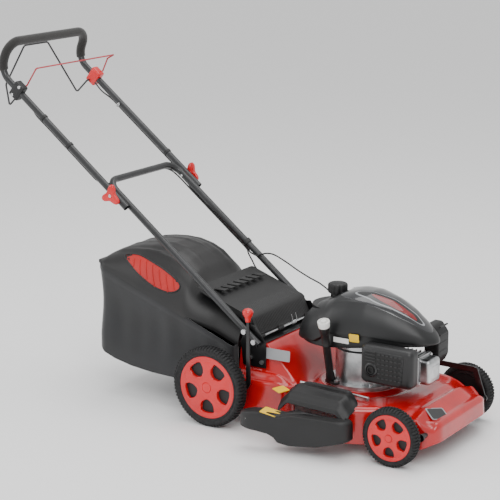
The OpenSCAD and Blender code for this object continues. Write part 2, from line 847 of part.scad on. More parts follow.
// ---------- cables (routes chosen by hand) ----------
cable_r = 2.5;
cable_slack = 0.7;
cable_n = -tube_r - cable_r - 0.6;
opc_upper_route = [
    hp(1120, upper_y - 17, -8), hp(1080, upper_y - 15, -12), hp(1040, upper_y, cable_n), hp(980, upper_y, cable_n),
    hp(900, upper_y, cable_n), hp(820, upper_y, cable_n), hp(740, upper_y, cable_n), hp(690, upper_y - 2, cable_n),
    hp(650, upper_y - 10, cable_n), hp(610, leg_y + 2, cable_n), hp(560, leg_y, cable_n), hp(500, leg_y, cable_n)
];
opc_lower_route = [
    hp(500, leg_y, cable_n), hp(440, leg_y, cable_n), hp(380, leg_y, cable_n), hp(322, leg_y, cable_n),
    hp(304, leg_y - 8, -13), hp(288, leg_y - 14, -6), hp(272, leg_y - 16, 4), [-58, 165, 455], [-26, 166, 454],
    [22, 164, 436], [66, 162, 416], [110, 162, 398], [150, 162, 384], [190, 157, 364], [226, 148, 340],
    [254, 138, 312], [278, 131, 286], [298, 121, 268], [316, 108, 264], [330, 97, 263]
];
drive_upper_route = [
    hp(1120, -upper_y + 17, -8), hp(1080, -upper_y + 15, -12), hp(1040, -upper_y, cable_n),
    hp(980, -upper_y, cable_n), hp(900, -upper_y, cable_n), hp(820, -upper_y, cable_n),
    hp(760, -upper_y, cable_n), hp(735, -198, cable_n), hp(720, -186, cable_n), hp(712, -166, cable_n),
    hp(711, -130, cable_n), hp(711, -70, cable_n), hp(711, 0, cable_n)
];
drive_lower_route = [
    hp(711, 0, cable_n), hp(711, 70, cable_n), hp(711, 126, cable_n), hp(706, 150, cable_n),
    hp(692, 165, cable_n), hp(660, 171, cable_n), hp(600, 171, cable_n), hp(500, 171, cable_n),
    hp(400, 171, cable_n), hp(322, 171, cable_n), hp(304, 168, -20), [-112, 165, 424], [-90, 163, 396],
    [-44, 162, 374], [0, 162, 350], [40, 161, 320], [66, 161, 288], [78, 161, 250], [80, 161, 200],
    [80, 161, 153]
];
module opc_cable_upper() { color("black") cable(opc_upper_route, cable_r); }
module opc_cable_lower() { color("black") cable(opc_lower_route, cable_r); }
module drive_cable_upper() { color("black") cable(drive_upper_route, cable_r); }
module drive_cable_lower() { color("black") cable(drive_lower_route, cable_r); }

// ---------- grass catcher ----------
function lid_side(t) = [
    [42 - t, 246 - (t > 0 ? 6 : 0)], [42 - t, 326 - t], [-116, 387 - t], [-140, 428 - t], [-190, 474 - t],
    [-250, 500 - t], [-340, 502 - t], [-430, 480 - t], [-488 + t, 452 - t], [-488 + t, 447 - (t > 0 ? 6 : 0)]
];
module lid_block(t) {
    side_plate(-catcher_half_w + t, catcher_half_w - t) intersection() {
        polygon(lid_side(t));
        translate([-600, 0]) square([540, 600]);
    }
    side_plate(-152 + t, 152 - t) polygon(lid_side(t));
}
module catcher_lid() {
    color("dimgray") difference() {
        lid_block(0);
        lid_block(3);
        // side vents
        both_sides() side_plate(-catcher_half_w - 5, -catcher_half_w + 5) polygon(vent_outline(0));
    }
}
function vent_outline(t) = [
    [-395 + 2 * t, 452 - t], [-330, 462 - t], [-250, 446 - t], [-190 - t, 410 - t], [-180 - t, 392],
    [-200, 384 + t], [-262, 396 + t], [-330, 424 + t]
];
module vent_grilles() {
    color("red") both_sides() difference() {
        side_plate(-catcher_half_w + 0.3, -catcher_half_w + 2.7) polygon(vent_outline(gap));
        for (i = [0 : 8]) translate([-372 + i * 22, -catcher_half_w - 5, 390]) rotate([0, 12, 0]) cube([3, 12, 60]);
    }
}

function bag_side(t) = [
    [42 - t, 244 + (t > 0 ? 6 : 0)], [42 - t, 106 + t], [-187, 104 + t], [-353, 113 + t], [-462, 141 + t],
    [-492 + t, 176], [-478 + t, 300], [-488 + t, 444 + (t > 0 ? 6 : 0)]
];
module catcher_bag() {
    color("black") difference() {
        side_plate(-catcher_half_w, catcher_half_w) polygon(bag_side(0));
        side_plate(-catcher_half_w + fabric_t, catcher_half_w - fabric_t) polygon(bag_side(fabric_t));
        translate([36, -146, 154]) cube([12, 292, 94]);
    }
}

deck();
hinge_rail();
handle_brackets();
deck_bolts();
hinge_rods();
engine_base();
cylinder_block();  // cylinder
valve_cover();
muffler_guard();
muffler();
air_filter_cover();
shroud();
fuel_tank();
oil_tube();
gearbox();
belt();
crankshaft();
flywheel();
blade_pulley();
blade();
blade_bolt();
gearbox_pulley();
fuel_cap();
oil_cap();
rear_flap();
flap_spring();
side_door();
side_chute();
rear_axle();
height_lever();
height_knob();
front_axle();
link_rod();
tyre_rear_right();
tyre_rear_left();
tyre_front_right();
tyre_front_left();
disc_rear_right();
disc_rear_left();
disc_front_right();
disc_front_left();
lower_handle();
lock_bolts();
lower_cable_clip();
upper_handle();
grip();
knob_right();
knob_left();
opc_bail();
drive_bail();
bail_mounts();
cable_clips();
rope_guide();
opc_cable_upper();
opc_cable_lower();
drive_cable_upper();
drive_cable_lower();
catcher_lid();
vent_grilles();
catcher_bag();
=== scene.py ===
"""A petrol lawn mower: moulded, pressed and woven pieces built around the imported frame."""
import json
import math

import bmesh
import bpy
import numpy as np
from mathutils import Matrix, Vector


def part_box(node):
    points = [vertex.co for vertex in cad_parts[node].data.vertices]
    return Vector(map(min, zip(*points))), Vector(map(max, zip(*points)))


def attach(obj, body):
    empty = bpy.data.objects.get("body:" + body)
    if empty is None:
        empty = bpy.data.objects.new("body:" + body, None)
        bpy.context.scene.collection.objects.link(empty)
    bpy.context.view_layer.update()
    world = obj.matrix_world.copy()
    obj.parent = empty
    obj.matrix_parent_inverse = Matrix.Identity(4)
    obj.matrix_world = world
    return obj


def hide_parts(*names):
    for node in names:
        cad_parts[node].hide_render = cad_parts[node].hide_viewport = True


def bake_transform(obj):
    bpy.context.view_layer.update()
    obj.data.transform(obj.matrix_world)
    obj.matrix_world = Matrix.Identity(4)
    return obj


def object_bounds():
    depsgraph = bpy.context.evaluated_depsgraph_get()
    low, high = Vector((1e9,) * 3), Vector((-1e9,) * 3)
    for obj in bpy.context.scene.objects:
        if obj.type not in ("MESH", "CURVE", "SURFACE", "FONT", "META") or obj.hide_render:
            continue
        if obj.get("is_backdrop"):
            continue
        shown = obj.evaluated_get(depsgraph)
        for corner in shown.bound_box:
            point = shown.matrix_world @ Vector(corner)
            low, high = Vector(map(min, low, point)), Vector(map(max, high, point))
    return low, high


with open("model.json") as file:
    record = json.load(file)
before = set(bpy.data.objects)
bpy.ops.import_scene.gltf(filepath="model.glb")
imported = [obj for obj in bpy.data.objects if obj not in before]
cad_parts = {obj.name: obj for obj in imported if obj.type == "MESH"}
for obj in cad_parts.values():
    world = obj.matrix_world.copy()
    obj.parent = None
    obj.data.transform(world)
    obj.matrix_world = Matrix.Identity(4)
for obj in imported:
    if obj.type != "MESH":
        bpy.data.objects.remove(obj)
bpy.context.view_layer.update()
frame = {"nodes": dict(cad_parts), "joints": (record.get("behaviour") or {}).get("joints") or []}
joints = {j["name"]: j for j in frame["joints"]}
MM = 0.001


def joint_at(name):
    """Where a joint's axis passes, in millimetres."""
    return np.array(joints[name]["pos_m"]) / MM


def box_mm(node):
    """A CAD node's lowest and highest corners, in millimetres."""
    low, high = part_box(node)
    return np.array(low) / MM, np.array(high) / MM


def metres(p):
    """A point in millimetres as the metres that the frame's calls take."""
    return tuple(np.asarray(p, float) * MM)


# ---------- camera ----------
def place_camera():
    """A long lens from the right front, a little above the handle."""
    azimuth, pitch = math.radians(32.94), math.radians(13.97)
    look = Vector((-math.sin(azimuth) * math.cos(pitch), math.cos(azimuth) * math.cos(pitch),
        -math.sin(pitch)))
    lens = bpy.data.cameras.new("camera")
    lens.lens = 120.77
    lens.sensor_width = 36.0
    camera = bpy.data.objects.new("camera", lens)
    camera.location = (2.7843, -4.3182, 1.7868)
    camera.rotation_euler = look.to_track_quat("-Z", "Y").to_euler()
    bpy.context.scene.collection.objects.link(camera)
    bpy.context.scene.camera = camera


place_camera()


# ---------- mesh tools ----------
class Shape:
    """Points and faces of one piece, gathered part by part, with a finish number for each face."""

    def __init__(self):
        self.points, self.faces, self.finishes, self.count = [], [], [], 0

    def add(self, points, faces, finish=0):
        points = np.asarray(points, float).reshape(-1, 3)
        self.points.append(points)
        self.faces += [tuple(int(i) + self.count for i in face) for face in faces]
        self.finishes += [finish] * len(faces)
        self.count += len(points)
        return self

    def grid(self, points, wrap_u=False, wrap_v=False, finish=0, keep=None):
        """Joins a grid of points (u, v, 3) with quads, round and round where a direction wraps."""
        rows, cols = points.shape[:2]
        u = np.arange(rows if wrap_u else rows - 1)
        v = np.arange(cols if wrap_v else cols - 1)
        u, v = np.meshgrid(u, v, indexing="ij")
        u2, v2 = (u + 1) % rows, (v + 1) % cols
        quads = np.stack([u * cols + v, u2 * cols + v, u2 * cols + v2, u * cols + v2], -1).reshape(-1, 4)
        if keep is not None:
            quads = quads[keep(points.reshape(-1, 3)[quads].mean(1))]
        return self.add(points, quads, finish)

    def fan(self, ring, centre, finish=0):
        """Closes a ring of points with triangles to one centre point."""
        n = len(ring)
        faces = [(i, (i + 1) % n, n) for i in range(n)]
        return self.add(np.vstack([ring, centre]), faces, finish)


def build(name, shape, finishes, body, replaces=(), wall=None, sharp=35):
    """Makes the piece and sets it on its body; given the two bodies of (a, b, start, end) instead, it bakes
    its transform and sets it on neither.
    """
    mesh = bpy.data.meshes.new(name)
    mesh.from_pydata((np.vstack(shape.points) * MM).tolist(), [], shape.faces)
    mesh.polygons.foreach_set("material_index", np.array(shape.finishes, np.int32))
    for finish in finishes:
        mesh.materials.append(finish)
    work = bmesh.new()
    work.from_mesh(mesh)
    bmesh.ops.remove_doubles(work, verts=work.verts, dist=0.00002)
    bmesh.ops.dissolve_degenerate(work, edges=work.edges, dist=0.000005)
    bmesh.ops.recalc_face_normals(work, faces=work.faces)
    work.to_mesh(mesh)
    work.free()
    mesh.shade_smooth()
    mesh.set_sharp_from_angle(angle=math.radians(sharp))
    piece = bpy.data.objects.new(name, mesh)
    bpy.context.scene.collection.objects.link(piece)
    if wall:
        solid = piece.modifiers.new("wall", "SOLIDIFY")
        solid.thickness = wall * MM
        solid.offset = -1.0
    if isinstance(body, str):
        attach(piece, body)
    else:
        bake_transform(piece)
    if replaces:
        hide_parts(*replaces)
    return piece


def unit(v):
    return v / np.linalg.norm(v, axis=-1, keepdims=True)


def smoothstep(x, low, high):
    """0 below low, 1 above high, with a soft ramp between them."""
    t = np.clip((x - low) / (high - low), 0, 1)
    return t * t * (3 - 2 * t)


def curve(points, count, closed=False):
    """An even run of points on the smooth (Catmull-Rom) curve through the given ones."""
    p = np.asarray(points, float)
    if closed:
        p = np.vstack([p[-1], p, p[0], p[1]])
    else:
        p = np.vstack([2 * p[0] - p[1], p, 2 * p[-1] - p[-2]])
    t = np.linspace(0, 1, 24, endpoint=False)[:, None]
    a, b, c, d = (p[i:len(p) - 3 + i, None, :] for i in range(4))
    fine = 0.5 * (2 * b + (c - a) * t + (2 * a - 5 * b + 4 * c - d) * t ** 2 + (3 * b - a - 3 * c + d)
        * t ** 3)
    fine = fine.reshape(-1, p.shape[1])
    fine = np.vstack([fine, p[-2]])
    return even(fine, count, closed)


def even(points, count, closed=False):
    """Spaces points evenly along a polyline; a closed one ends where it starts, so its last point is dropped.
    """
    steps = np.r_[0, np.cumsum(np.linalg.norm(np.diff(points, axis=0), axis=1))]
    at = np.linspace(0, steps[-1], count + 1 if closed else count)
    at = at[:-1] if closed else at
    return np.stack([np.interp(at, steps, points[:, k]) for k in range(points.shape[1])], -1)


def corner_arc(before, p, after, r, count):
    """The round bend of radius r that replaces corner p."""
    a, b = unit(before - p), unit(after - p)
    half = math.acos(np.clip(a @ b, -1, 1)) / 2
    centre = p + unit(a + b) * r / math.sin(half)
    start, end = p + a * r / math.tan(half) - centre, p + b * r / math.tan(half) - centre
    return [centre + unit(start * (1 - t) + end * t) * r for t in np.linspace(0, 1, count)]


def rounded(corners, radii, per_corner=6):
    """A closed outline with an arc of the given radius at each corner."""
    corners = np.asarray(corners, float)
    out = []
    for i, r in enumerate(np.broadcast_to(radii, len(corners))):
        out += corner_arc(corners[i - 1], corners[i], corners[(i + 1) % len(corners)], r, per_corner)
    return np.array(out)


def bent(corners, radii, per_corner=12):
    """An open path with a round bend at each inner corner."""
    corners = np.asarray(corners, float)
    out = [corners[0]]
    for before, p, after, r in zip(corners[:-2], corners[1:-1], corners[2:], radii):
        out += corner_arc(before, p, after, r, per_corner)
    return np.array(out + [corners[-1]])


def tube_rings(path, radius, sides=12, up=(0, 1, 0)):
    """Rings of a round section carried along a path; radius may change from point to point."""
    path = np.asarray(path, float)
    ahead = unit(np.gradient(path, axis=0))
    side = np.zeros_like(path)
    guide = np.array(up, float)
    for i, t in enumerate(ahead):
        guide = guide - t * (guide @ t)
        if np.linalg.norm(guide) < 1e-6:
            guide = np.cross(t, (1, 0, 0))
        guide = unit(guide)
        side[i] = guide
    other = np.cross(ahead, side)
    a = np.linspace(0, 2 * np.pi, sides, endpoint=False)
    radius = np.broadcast_to(np.asarray(radius, float), len(path))[:, None, None]
    return path[:, None] + radius * (side[:, None] * np.cos(a)[None, :, None] + other[:,
        None] * np.sin(a)[None, :, None])


def tube(shape, path, radius, sides=12, finish=0, ends=True, up=(0, 1, 0)):
    """A closed round bar or cable along a path."""
    rings = tube_rings(path, radius, sides, up)
    shape.grid(rings, wrap_v=True, finish=finish)
    if ends:
        shape.fan(rings[0], rings[0].mean(0), finish)
        shape.fan(rings[-1], rings[-1].mean(0), finish)
    return shape


def lathe(shape, centre, axis, profile, sides=48, finish=0, start=(0, 0, 1), ripple=None):
    """Spins a profile of (along the axis, radius) pairs; ripple(angle, row) scales the radius."""
    axis = unit(np.array(axis, float))
    first = np.array(start if abs(unit(np.array(start, float)) @ axis) < 0.99 else (1, 0, 0), float)
    first = unit(first - axis * (first @ axis))
    second = np.cross(axis, first)
    a = np.linspace(0, 2 * np.pi, sides, endpoint=False)
    profile = np.asarray(profile, float)
    r = np.repeat(profile[:, 1:2], sides, axis=1)
    if ripple is not None:
        r = r * ripple(a[None, :], np.arange(len(profile))[:, None])
    around = first * np.cos(a)[:, None] + second * np.sin(a)[:, None]
    points = np.array(centre, float) + profile[:, None, 0:1] * axis + r[..., None] * around[None]
    return shape.grid(points, wrap_v=True, finish=finish)


def slab(shape, outline, thick, finish=0, rings=5, round_edge=0.0, lift=0.0, top=None):
    """A closed plate over an outline (x, y): its top follows top(x, y) raised by lift, with rounded
    shoulders."""
    outline = np.asarray(outline, float)
    centre = outline.mean(0)
    reach = np.linalg.norm(outline - centre, axis=1).mean()
    inner = np.linspace(0, 1 - round_edge / reach, rings)[1:]
    bend = np.linspace(0, np.pi / 2, 4)
    share = np.r_[inner[:-1], 1 - round_edge / reach * (1 - np.sin(bend))]
    drop = np.r_[np.zeros(len(inner) - 1), round_edge * (1 - np.cos(bend))]
    flat = centre + (outline - centre)[None] * share[:, None, None]
    height = np.zeros(flat.shape[:2]) if top is None else top(flat[..., 0], flat[..., 1])
    base = 0.0 if top is None else float(top(centre[0], centre[1]))
    upper = np.dstack([flat, height + lift - drop[:, None]])
    lower = np.dstack([flat, height + lift - thick])
    shape.grid(upper, wrap_v=True, finish=finish)
    shape.grid(lower, wrap_v=True, finish=finish)
    shape.grid(np.stack([upper[-1], lower[-1]]), wrap_v=True, finish=finish)
    shape.fan(upper[0], np.array([centre[0], centre[1], base + lift]), finish)
    shape.fan(lower[0], np.array([centre[0], centre[1], base + lift - thick]), finish)
    return shape


def placed(shape, origin, x_axis, y_axis, since=0):
    """Turns the parts of a shape added since a mark from flat (x, y, z) into the place given by two axes."""
    x_axis = unit(np.array(x_axis, float))
    y_axis = np.array(y_axis, float)
    y_axis = unit(y_axis - x_axis * (y_axis @ x_axis))
    turn = np.stack([x_axis, y_axis, np.cross(x_axis, y_axis)])
    for i in range(since, len(shape.points)):
        shape.points[i] = shape.points[i] @ turn + np.array(origin, float)
    return shape


def block(shape, low, high, edge=3.0, finish=0):
    """A box with rounded edges: a cube grid pushed out to the nearest point of its inner box plus the edge
    radius."""
    low, high = np.array(low, float), np.array(high, float)
    half, centre = (high - low) / 2, (high + low) / 2
    knots = np.r_[0, 0.3, 0.7, 1.0]
    for axis in range(3):
        for side in (-1, 1):
            a, b = [k for k in range(3) if k != axis]
            lines = []
            for k in (a, b):
                ramp = half[k] - edge + edge * knots
                inner = np.linspace(-ramp[0], ramp[0], 6)[1:-1]
                lines.append(np.r_[-ramp[::-1], inner, ramp])
            u, v = np.meshgrid(*lines, indexing="ij")
            p = np.zeros(u.shape + (3,))
            p[..., a], p[..., b], p[..., axis] = u, v, side * half[axis]
            core = np.clip(p, -(half - edge), half - edge)
            p = core + unit(p - core) * edge
            shape.grid(p + centre, finish=finish)
    return shape


# ---------- finishes ----------
def linear(code):
    """An sRGB hex colour as the linear values that shaders take."""
    c = np.array([int(code[i:i + 2], 16) for i in (0, 2, 4)]) / 255
    c = np.where(c <= 0.04045, c / 12.92, ((c + 0.055) / 1.055) ** 2.4)
    return (*c.tolist(), 1.0)


def add(tree, kind, inputs=None, **settings):
    """Adds a node; an input that is given a socket is linked, and any other is set."""
    made = tree.nodes.new("ShaderNode" + kind)
    for key, value in settings.items():
        setattr(made, key, value)
    for key, value in (inputs or {}).items():
        if isinstance(value, bpy.types.NodeSocket):
            tree.links.new(value, made.inputs[key])
        else:
            made.inputs[key].default_value = value
    return made


def surface(name, colour, roughness, **sockets):
    """A new material, its shader and its object coordinates, ready for patterns."""
    made = bpy.data.materials.new(name)
    made.use_nodes = True
    tree = made.node_tree
    shader = tree.nodes["Principled BSDF"]
    shader.inputs["Base Color"].default_value = linear(colour)
    shader.inputs["Roughness"].default_value = roughness
    for key, value in sockets.items():
        shader.inputs[key.replace("_", " ")].default_value = value
    place = add(tree, "TexCoord").outputs["Object"]
    return made, tree, shader, place


def bump(tree, shader, height, distance_mm, strength=1.0):
    """Raises the surface by a pattern, its full height given in millimetres."""
    made = add(tree, "Bump", {"Strength": strength, "Distance": distance_mm * MM, "Height": height})
    tree.links.new(made.outputs["Normal"], shader.inputs["Normal"])


def per_metre(size_mm):
    """A noise scale whose features are about this many millimetres across."""
    return 1000.0 / size_mm


def shades(tree, shader, pattern, low, high, dark, light, socket="Base Color"):
    """Colours the surface between two hex shades by a pattern."""
    ramp = add(tree, "ValToRGB", {"Fac": pattern})
    for stop, at, code in zip(ramp.color_ramp.elements, (low, high), (dark, light)):
        stop.position = at
        stop.color = linear(code)
    tree.links.new(ramp.outputs["Color"], shader.inputs[socket])


def vary_roughness(tree, shader, pattern, low, high):
    """Lets the gloss wander between two roughness values by a pattern."""
    span = add(tree, "MapRange", {"Value": pattern, "To Min": low, "To Max": high})
    tree.links.new(span.outputs["Result"], shader.inputs["Roughness"])


def powder_coat(name, dark, light, rough, coat=0.0):
    """Baked powder coat on pressed steel: a glossy skin with a fine orange peel and slight handling haze."""
    made, tree, shader, place = surface(name, light, rough, Coat_Weight=coat, Coat_Roughness=0.08)
    haze = add(tree, "TexNoise", {"Vector": place, "Scale": per_metre(90), "Detail": 3.0})
    peel = add(tree, "TexNoise", {"Vector": place, "Scale": per_metre(3), "Detail": 2.0})
    shades(tree, shader, haze.outputs["Fac"], 0.35, 0.65, dark, light)
    vary_roughness(tree, shader, haze.outputs["Fac"], rough * 0.85, rough * 1.2)
    bump(tree, shader, peel.outputs["Fac"], 0.12, 0.35)
    return made


def moulded_plastic(name, dark, light, rough, grain_mm=1.2, depth_mm=0.12, **sockets):
    """Injection-moulded plastic: a fine spark-eroded grain and a faint drift in shade along the flow."""
    made, tree, shader, place = surface(name, light, rough, **sockets)
    grain = add(tree, "TexNoise", {"Vector": place, "Scale": per_metre(grain_mm), "Detail": 2.0})
    flow = add(tree, "TexNoise", {"Vector": place, "Scale": per_metre(120), "Detail": 2.0})
    shades(tree, shader, flow.outputs["Fac"], 0.3, 0.7, dark, light)
    vary_roughness(tree, shader, grain.outputs["Fac"], rough * 0.88, rough * 1.15)
    bump(tree, shader, grain.outputs["Fac"], depth_mm, 0.5)
    return made


def tyre_rubber():
    """Moulded tyre rubber: dull charcoal, a little paler where the tread blocks have scuffed."""
    made, tree, shader, place = surface("moulded_tyre_rubber", "1d1d1e", 0.72, Specular_IOR_Level=0.35)
    scuff = add(tree, "TexNoise", {"Vector": place, "Scale": per_metre(7), "Detail": 5.0})
    shades(tree, shader, scuff.outputs["Fac"], 0.35, 0.75, "131314", "2b2b2c")
    bump(tree, shader, scuff.outputs["Fac"], 0.35, 0.5)
    return made


def closed_cell_foam():
    """Extruded closed-cell foam: dull, soft and pitted by cells about a millimetre across."""
    made, tree, shader, place = surface("closed_cell_foam", "262422", 0.9, Sheen_Weight=0.25)
    cells = add(tree, "TexVoronoi", {"Vector": place, "Scale": per_metre(1.6)})
    shades(tree, shader, cells.outputs["Distance"], 0.1, 0.7, "2a2826", "191817")
    bump(tree, shader, cells.outputs["Distance"], 0.5, 0.5)
    return made


def zinc_plate():
    """Bright zinc-plated steel: a pale metal with the faint crystal cloud of the plating."""
    made, tree, shader, place = surface("zinc_plated_steel", "c9cacb", 0.3, Metallic=1.0)
    cloud = add(tree, "TexNoise", {"Vector": place, "Scale": per_metre(4), "Detail": 4.0})
    vary_roughness(tree, shader, cloud.outputs["Fac"], 0.22, 0.42)
    bump(tree, shader, cloud.outputs["Fac"], 0.05, 0.4)
    return made


def cast_aluminium():
    """Die-cast aluminium: silver grey, sandy skin with shallow flow marks and darker hollows."""
    made, tree, shader, place = surface("die_cast_aluminium", "c4c5c6", 0.38, Metallic=1.0)
    sand = add(tree, "TexNoise", {"Vector": place, "Scale": per_metre(1.8), "Detail": 3.0})
    cloud = add(tree, "TexNoise", {"Vector": place, "Scale": per_metre(40), "Detail": 3.0})
    shades(tree, shader, cloud.outputs["Fac"], 0.3, 0.7, "a2a4a6", "dcdddd")
    vary_roughness(tree, shader, cloud.outputs["Fac"], 0.3, 0.48)
    bump(tree, shader, sand.outputs["Fac"], 0.25, 0.5)
    return made


def turned_steel():
    """Turned steel: a metal with fine tool rings along its axis."""
    made, tree, shader, place = surface("turned_steel", "9d9ea0", 0.3, Metallic=1.0)
    rings = add(tree, "TexWave", {"Vector": place, "Scale": per_metre(6), "Distortion": 0.6},
        bands_direction="Z")
    bump(tree, shader, rings.outputs["Fac"], 0.03, 0.4)
    vary_roughness(tree, shader, rings.outputs["Fac"], 0.24, 0.38)
    return made


def woven_polyester():
    """Coated woven polyester: a plain weave of 1.4 mm threads, drawn coarser than the real 0.5 mm so that it
    shows."""
    made, tree, shader, place = surface("woven_polyester", "17181b", 0.78, Sheen_Weight=0.35,
        Sheen_Roughness=0.5)
    turned = add(tree, "Mapping",
        {"Vector": place, "Rotation": (0.0, math.radians(90), 0.0)}).outputs["Vector"]
    warp = add(tree, "TexWave", {"Vector": place, "Scale": per_metre(9), "Distortion": 0.4},
        bands_direction="X")
    weft = add(tree, "TexWave", {"Vector": turned, "Scale": per_metre(9), "Distortion": 0.4},
        bands_direction="X")
    cross = add(tree, "Math", {0: warp.outputs["Fac"], 1: weft.outputs["Fac"]}, operation="MULTIPLY")
    fade = add(tree, "TexNoise", {"Vector": place, "Scale": per_metre(140), "Detail": 4.0})
    shades(tree, shader, fade.outputs["Fac"], 0.3, 0.75, "090a0c", "15161a")
    bump(tree, shader, cross.outputs["Value"], 0.4, 0.6)
    return made


def printed_film(name, colour, rough=0.35):
    """Printed vinyl film: an even colour under a thin satin varnish."""
    made, tree, shader, place = surface(name, colour, rough, Coat_Weight=0.3)
    ripple = add(tree, "TexNoise", {"Vector": place, "Scale": per_metre(15)})
    bump(tree, shader, ripple.outputs["Fac"], 0.05, 0.3)
    return made


DECK_RED = powder_coat("powder_coated_red", "a60408", "ba070c", 0.24, coat=0.5)
BLACK_STEEL = powder_coat("powder_coated_black", "0a0a0b", "111112", 0.3, coat=0.2)
TUBE_GREY = powder_coat("powder_coated_graphite", "191a1b", "222325", 0.34, coat=0.15)
BLADE_STEEL = powder_coat("painted_blade_steel", "202122", "2c2d2f", 0.5)
BAIL_BLACK = moulded_plastic("plastic_coated_wire_black", "1c1c1e", "262628", 0.35)
BAIL_RED = moulded_plastic("plastic_coated_wire_red", "a0202a", "b83440", 0.35)
BLACK_PLASTIC = moulded_plastic("grained_black_polypropylene", "0b0b0c", "121213", 0.5)
LID_PLASTIC = moulded_plastic("grained_charcoal_polypropylene", "121213", "1b1a1a", 0.46, grain_mm=1.6)
FLAP_PLASTIC = moulded_plastic("deep_grained_black_polypropylene", "0e0e0f", "171717", 0.55, grain_mm=2.4,
    depth_mm=0.25)
SHROUD_PLASTIC = moulded_plastic("satin_charcoal_abs", "101112", "191a1b", 0.4, grain_mm=0.9, depth_mm=0.06)
PANEL_PLASTIC = moulded_plastic("glossy_charcoal_abs", "1b1c1e", "26272a", 0.14, grain_mm=30, depth_mm=0.04,
    Coat_Weight=0.6)
RED_PLASTIC = moulded_plastic("gloss_red_abs", "c20a10", "d4161c", 0.24, grain_mm=25, depth_mm=0.05,
    Coat_Weight=0.3)
VENT_RED = moulded_plastic("matt_red_polypropylene", "9e1512", "c01f1a", 0.5)
GUARD_BLACK = powder_coat("heat_resistant_black_enamel", "141415", "1e1e1f", 0.42)
GUARD_DARK = powder_coat("sooty_black_enamel", "0b0b0b", "151515", 0.6)
CABLE_BLACK = moulded_plastic("extruded_cable_jacket", "101011", "1b1b1c", 0.4)
RUBBER = tyre_rubber()
FOAM = closed_cell_foam()
ZINC = zinc_plate()
ALUMINIUM = cast_aluminium()
STEEL = turned_steel()
FABRIC = woven_polyester()
YELLOW_FILM = printed_film("yellow_vinyl_film", "f2c516")
WHITE_FILM = printed_film("white_vinyl_film", "e4e4e0")
SILVER_FILM = printed_film("silver_grey_vinyl_film", "8d8f92")
BLACK_FILM = printed_film("black_vinyl_film", "101113", 0.2)
RED_FILM = printed_film("dark_red_vinyl_film", "7c1518", 0.2)


def finish_node(node, material):
    """Gives a CAD node its finish."""
    slots = frame["nodes"][node].data.materials
    slots.clear()
    slots.append(material)


CAD_FINISHES = {
    BLACK_STEEL: ["hinge_rail", "handle_brackets", "height_lever", "link_rod", "rear_axle", "front_axle"],
    TUBE_GREY: ["lower_handle", "upper_handle"],
    BLADE_STEEL: ["blade"],
    ZINC: ["deck_bolts", "hinge_rods", "lock_bolts", "rope_guide", "blade_bolt"],
    ALUMINIUM: ["engine_base", "cylinder", "gearbox", "flywheel"],
    STEEL: ["crankshaft", "blade_pulley", "gearbox_pulley"],
    BLACK_PLASTIC: ["air_filter_cover", "fuel_tank", "oil_cap", "lower_cable_clip", "cable_clips"],
    GUARD_DARK: ["muffler"],
    CABLE_BLACK: ["belt"],
    BAIL_BLACK: ["opc_bail"],
    BAIL_RED: ["drive_bail"],
}
for material, nodes in CAD_FINISHES.items():
    for cad_node in nodes:
        finish_node(cad_node, material)


# ---------- wheels ----------
TREAD_STEPS = np.array([0, 0.06, 0.12, 0.5, 0.56, 0.62])


def lugs(turn, offset):
    """1 on a tread lug and 0 in the groove behind it, for turns counted in lugs."""
    return np.interp((turn + offset) % 1, [0, 0.06, 0.56, 0.62, 1], [0, 1, 1, 0, 0])


def tyre(corner, centre, side, radius, width, rim):
    """Spins a tyre section whose crown and shoulders are cut into two staggered rows of lugs."""
    count = 72 if radius > 100 else 56
    depth = 3.2
    half = width / 2
    rows = [
        (rim + 1, half - 5, None), (rim + 3, half - 2.5, None), (rim + 7, half - 1.6, None),
        (rim + 8, half - 2.6, None),
        (radius - 16, half - 1.4, None), (radius - 13, half - 0.4, None), (radius - 12.5, half - 0.2, 0),
        (radius - 8, half - 0.6, 0), (radius - 4, half - 2.6, 0), (radius - 1.2, half - 6, 0),
        (radius, half - 10, 0),
        (radius, 1.4, 0), (radius - depth, 0.8, None), (radius - depth, -0.8, None), (radius, -1.4, 0.5),
        (radius, -half + 10, 0.5), (radius - 1.2, -half + 6, 0.5), (radius - 4, -half + 2.6, 0.5),
        (radius - 8, -half + 0.6, 0.5), (radius - 12.5, -half + 0.2, 0.5), (radius - 13, -half + 0.4, None),
        (radius - 16, -half + 1.4, None), (rim + 8, -half + 2.6, None), (rim + 3, -half + 2.5, None),
        (rim + 1, -half + 5, None),
    ]
    turn = (np.arange(count)[:, None] + TREAD_STEPS[None]).ravel()
    angle = turn / count * 2 * np.pi
    points = []
    for r, w, offset in rows:
        cut = 0 if offset is None else (lugs(turn, offset) - 1) * min(depth,
            max(0.8, (r - radius + 14) * 0.5))
        ring = r + cut
        points.append(np.stack([ring * np.cos(angle), np.full(len(angle), w * side), ring * np.sin(angle)],
            -1))
    shape = Shape().grid(np.array(points) + centre, wrap_u=True, wrap_v=True)
    return build(f"tyre_{corner}_tread", shape, [RUBBER], f"wheel_{corner}",
        [f"tyre_{corner}"], sharp=30)


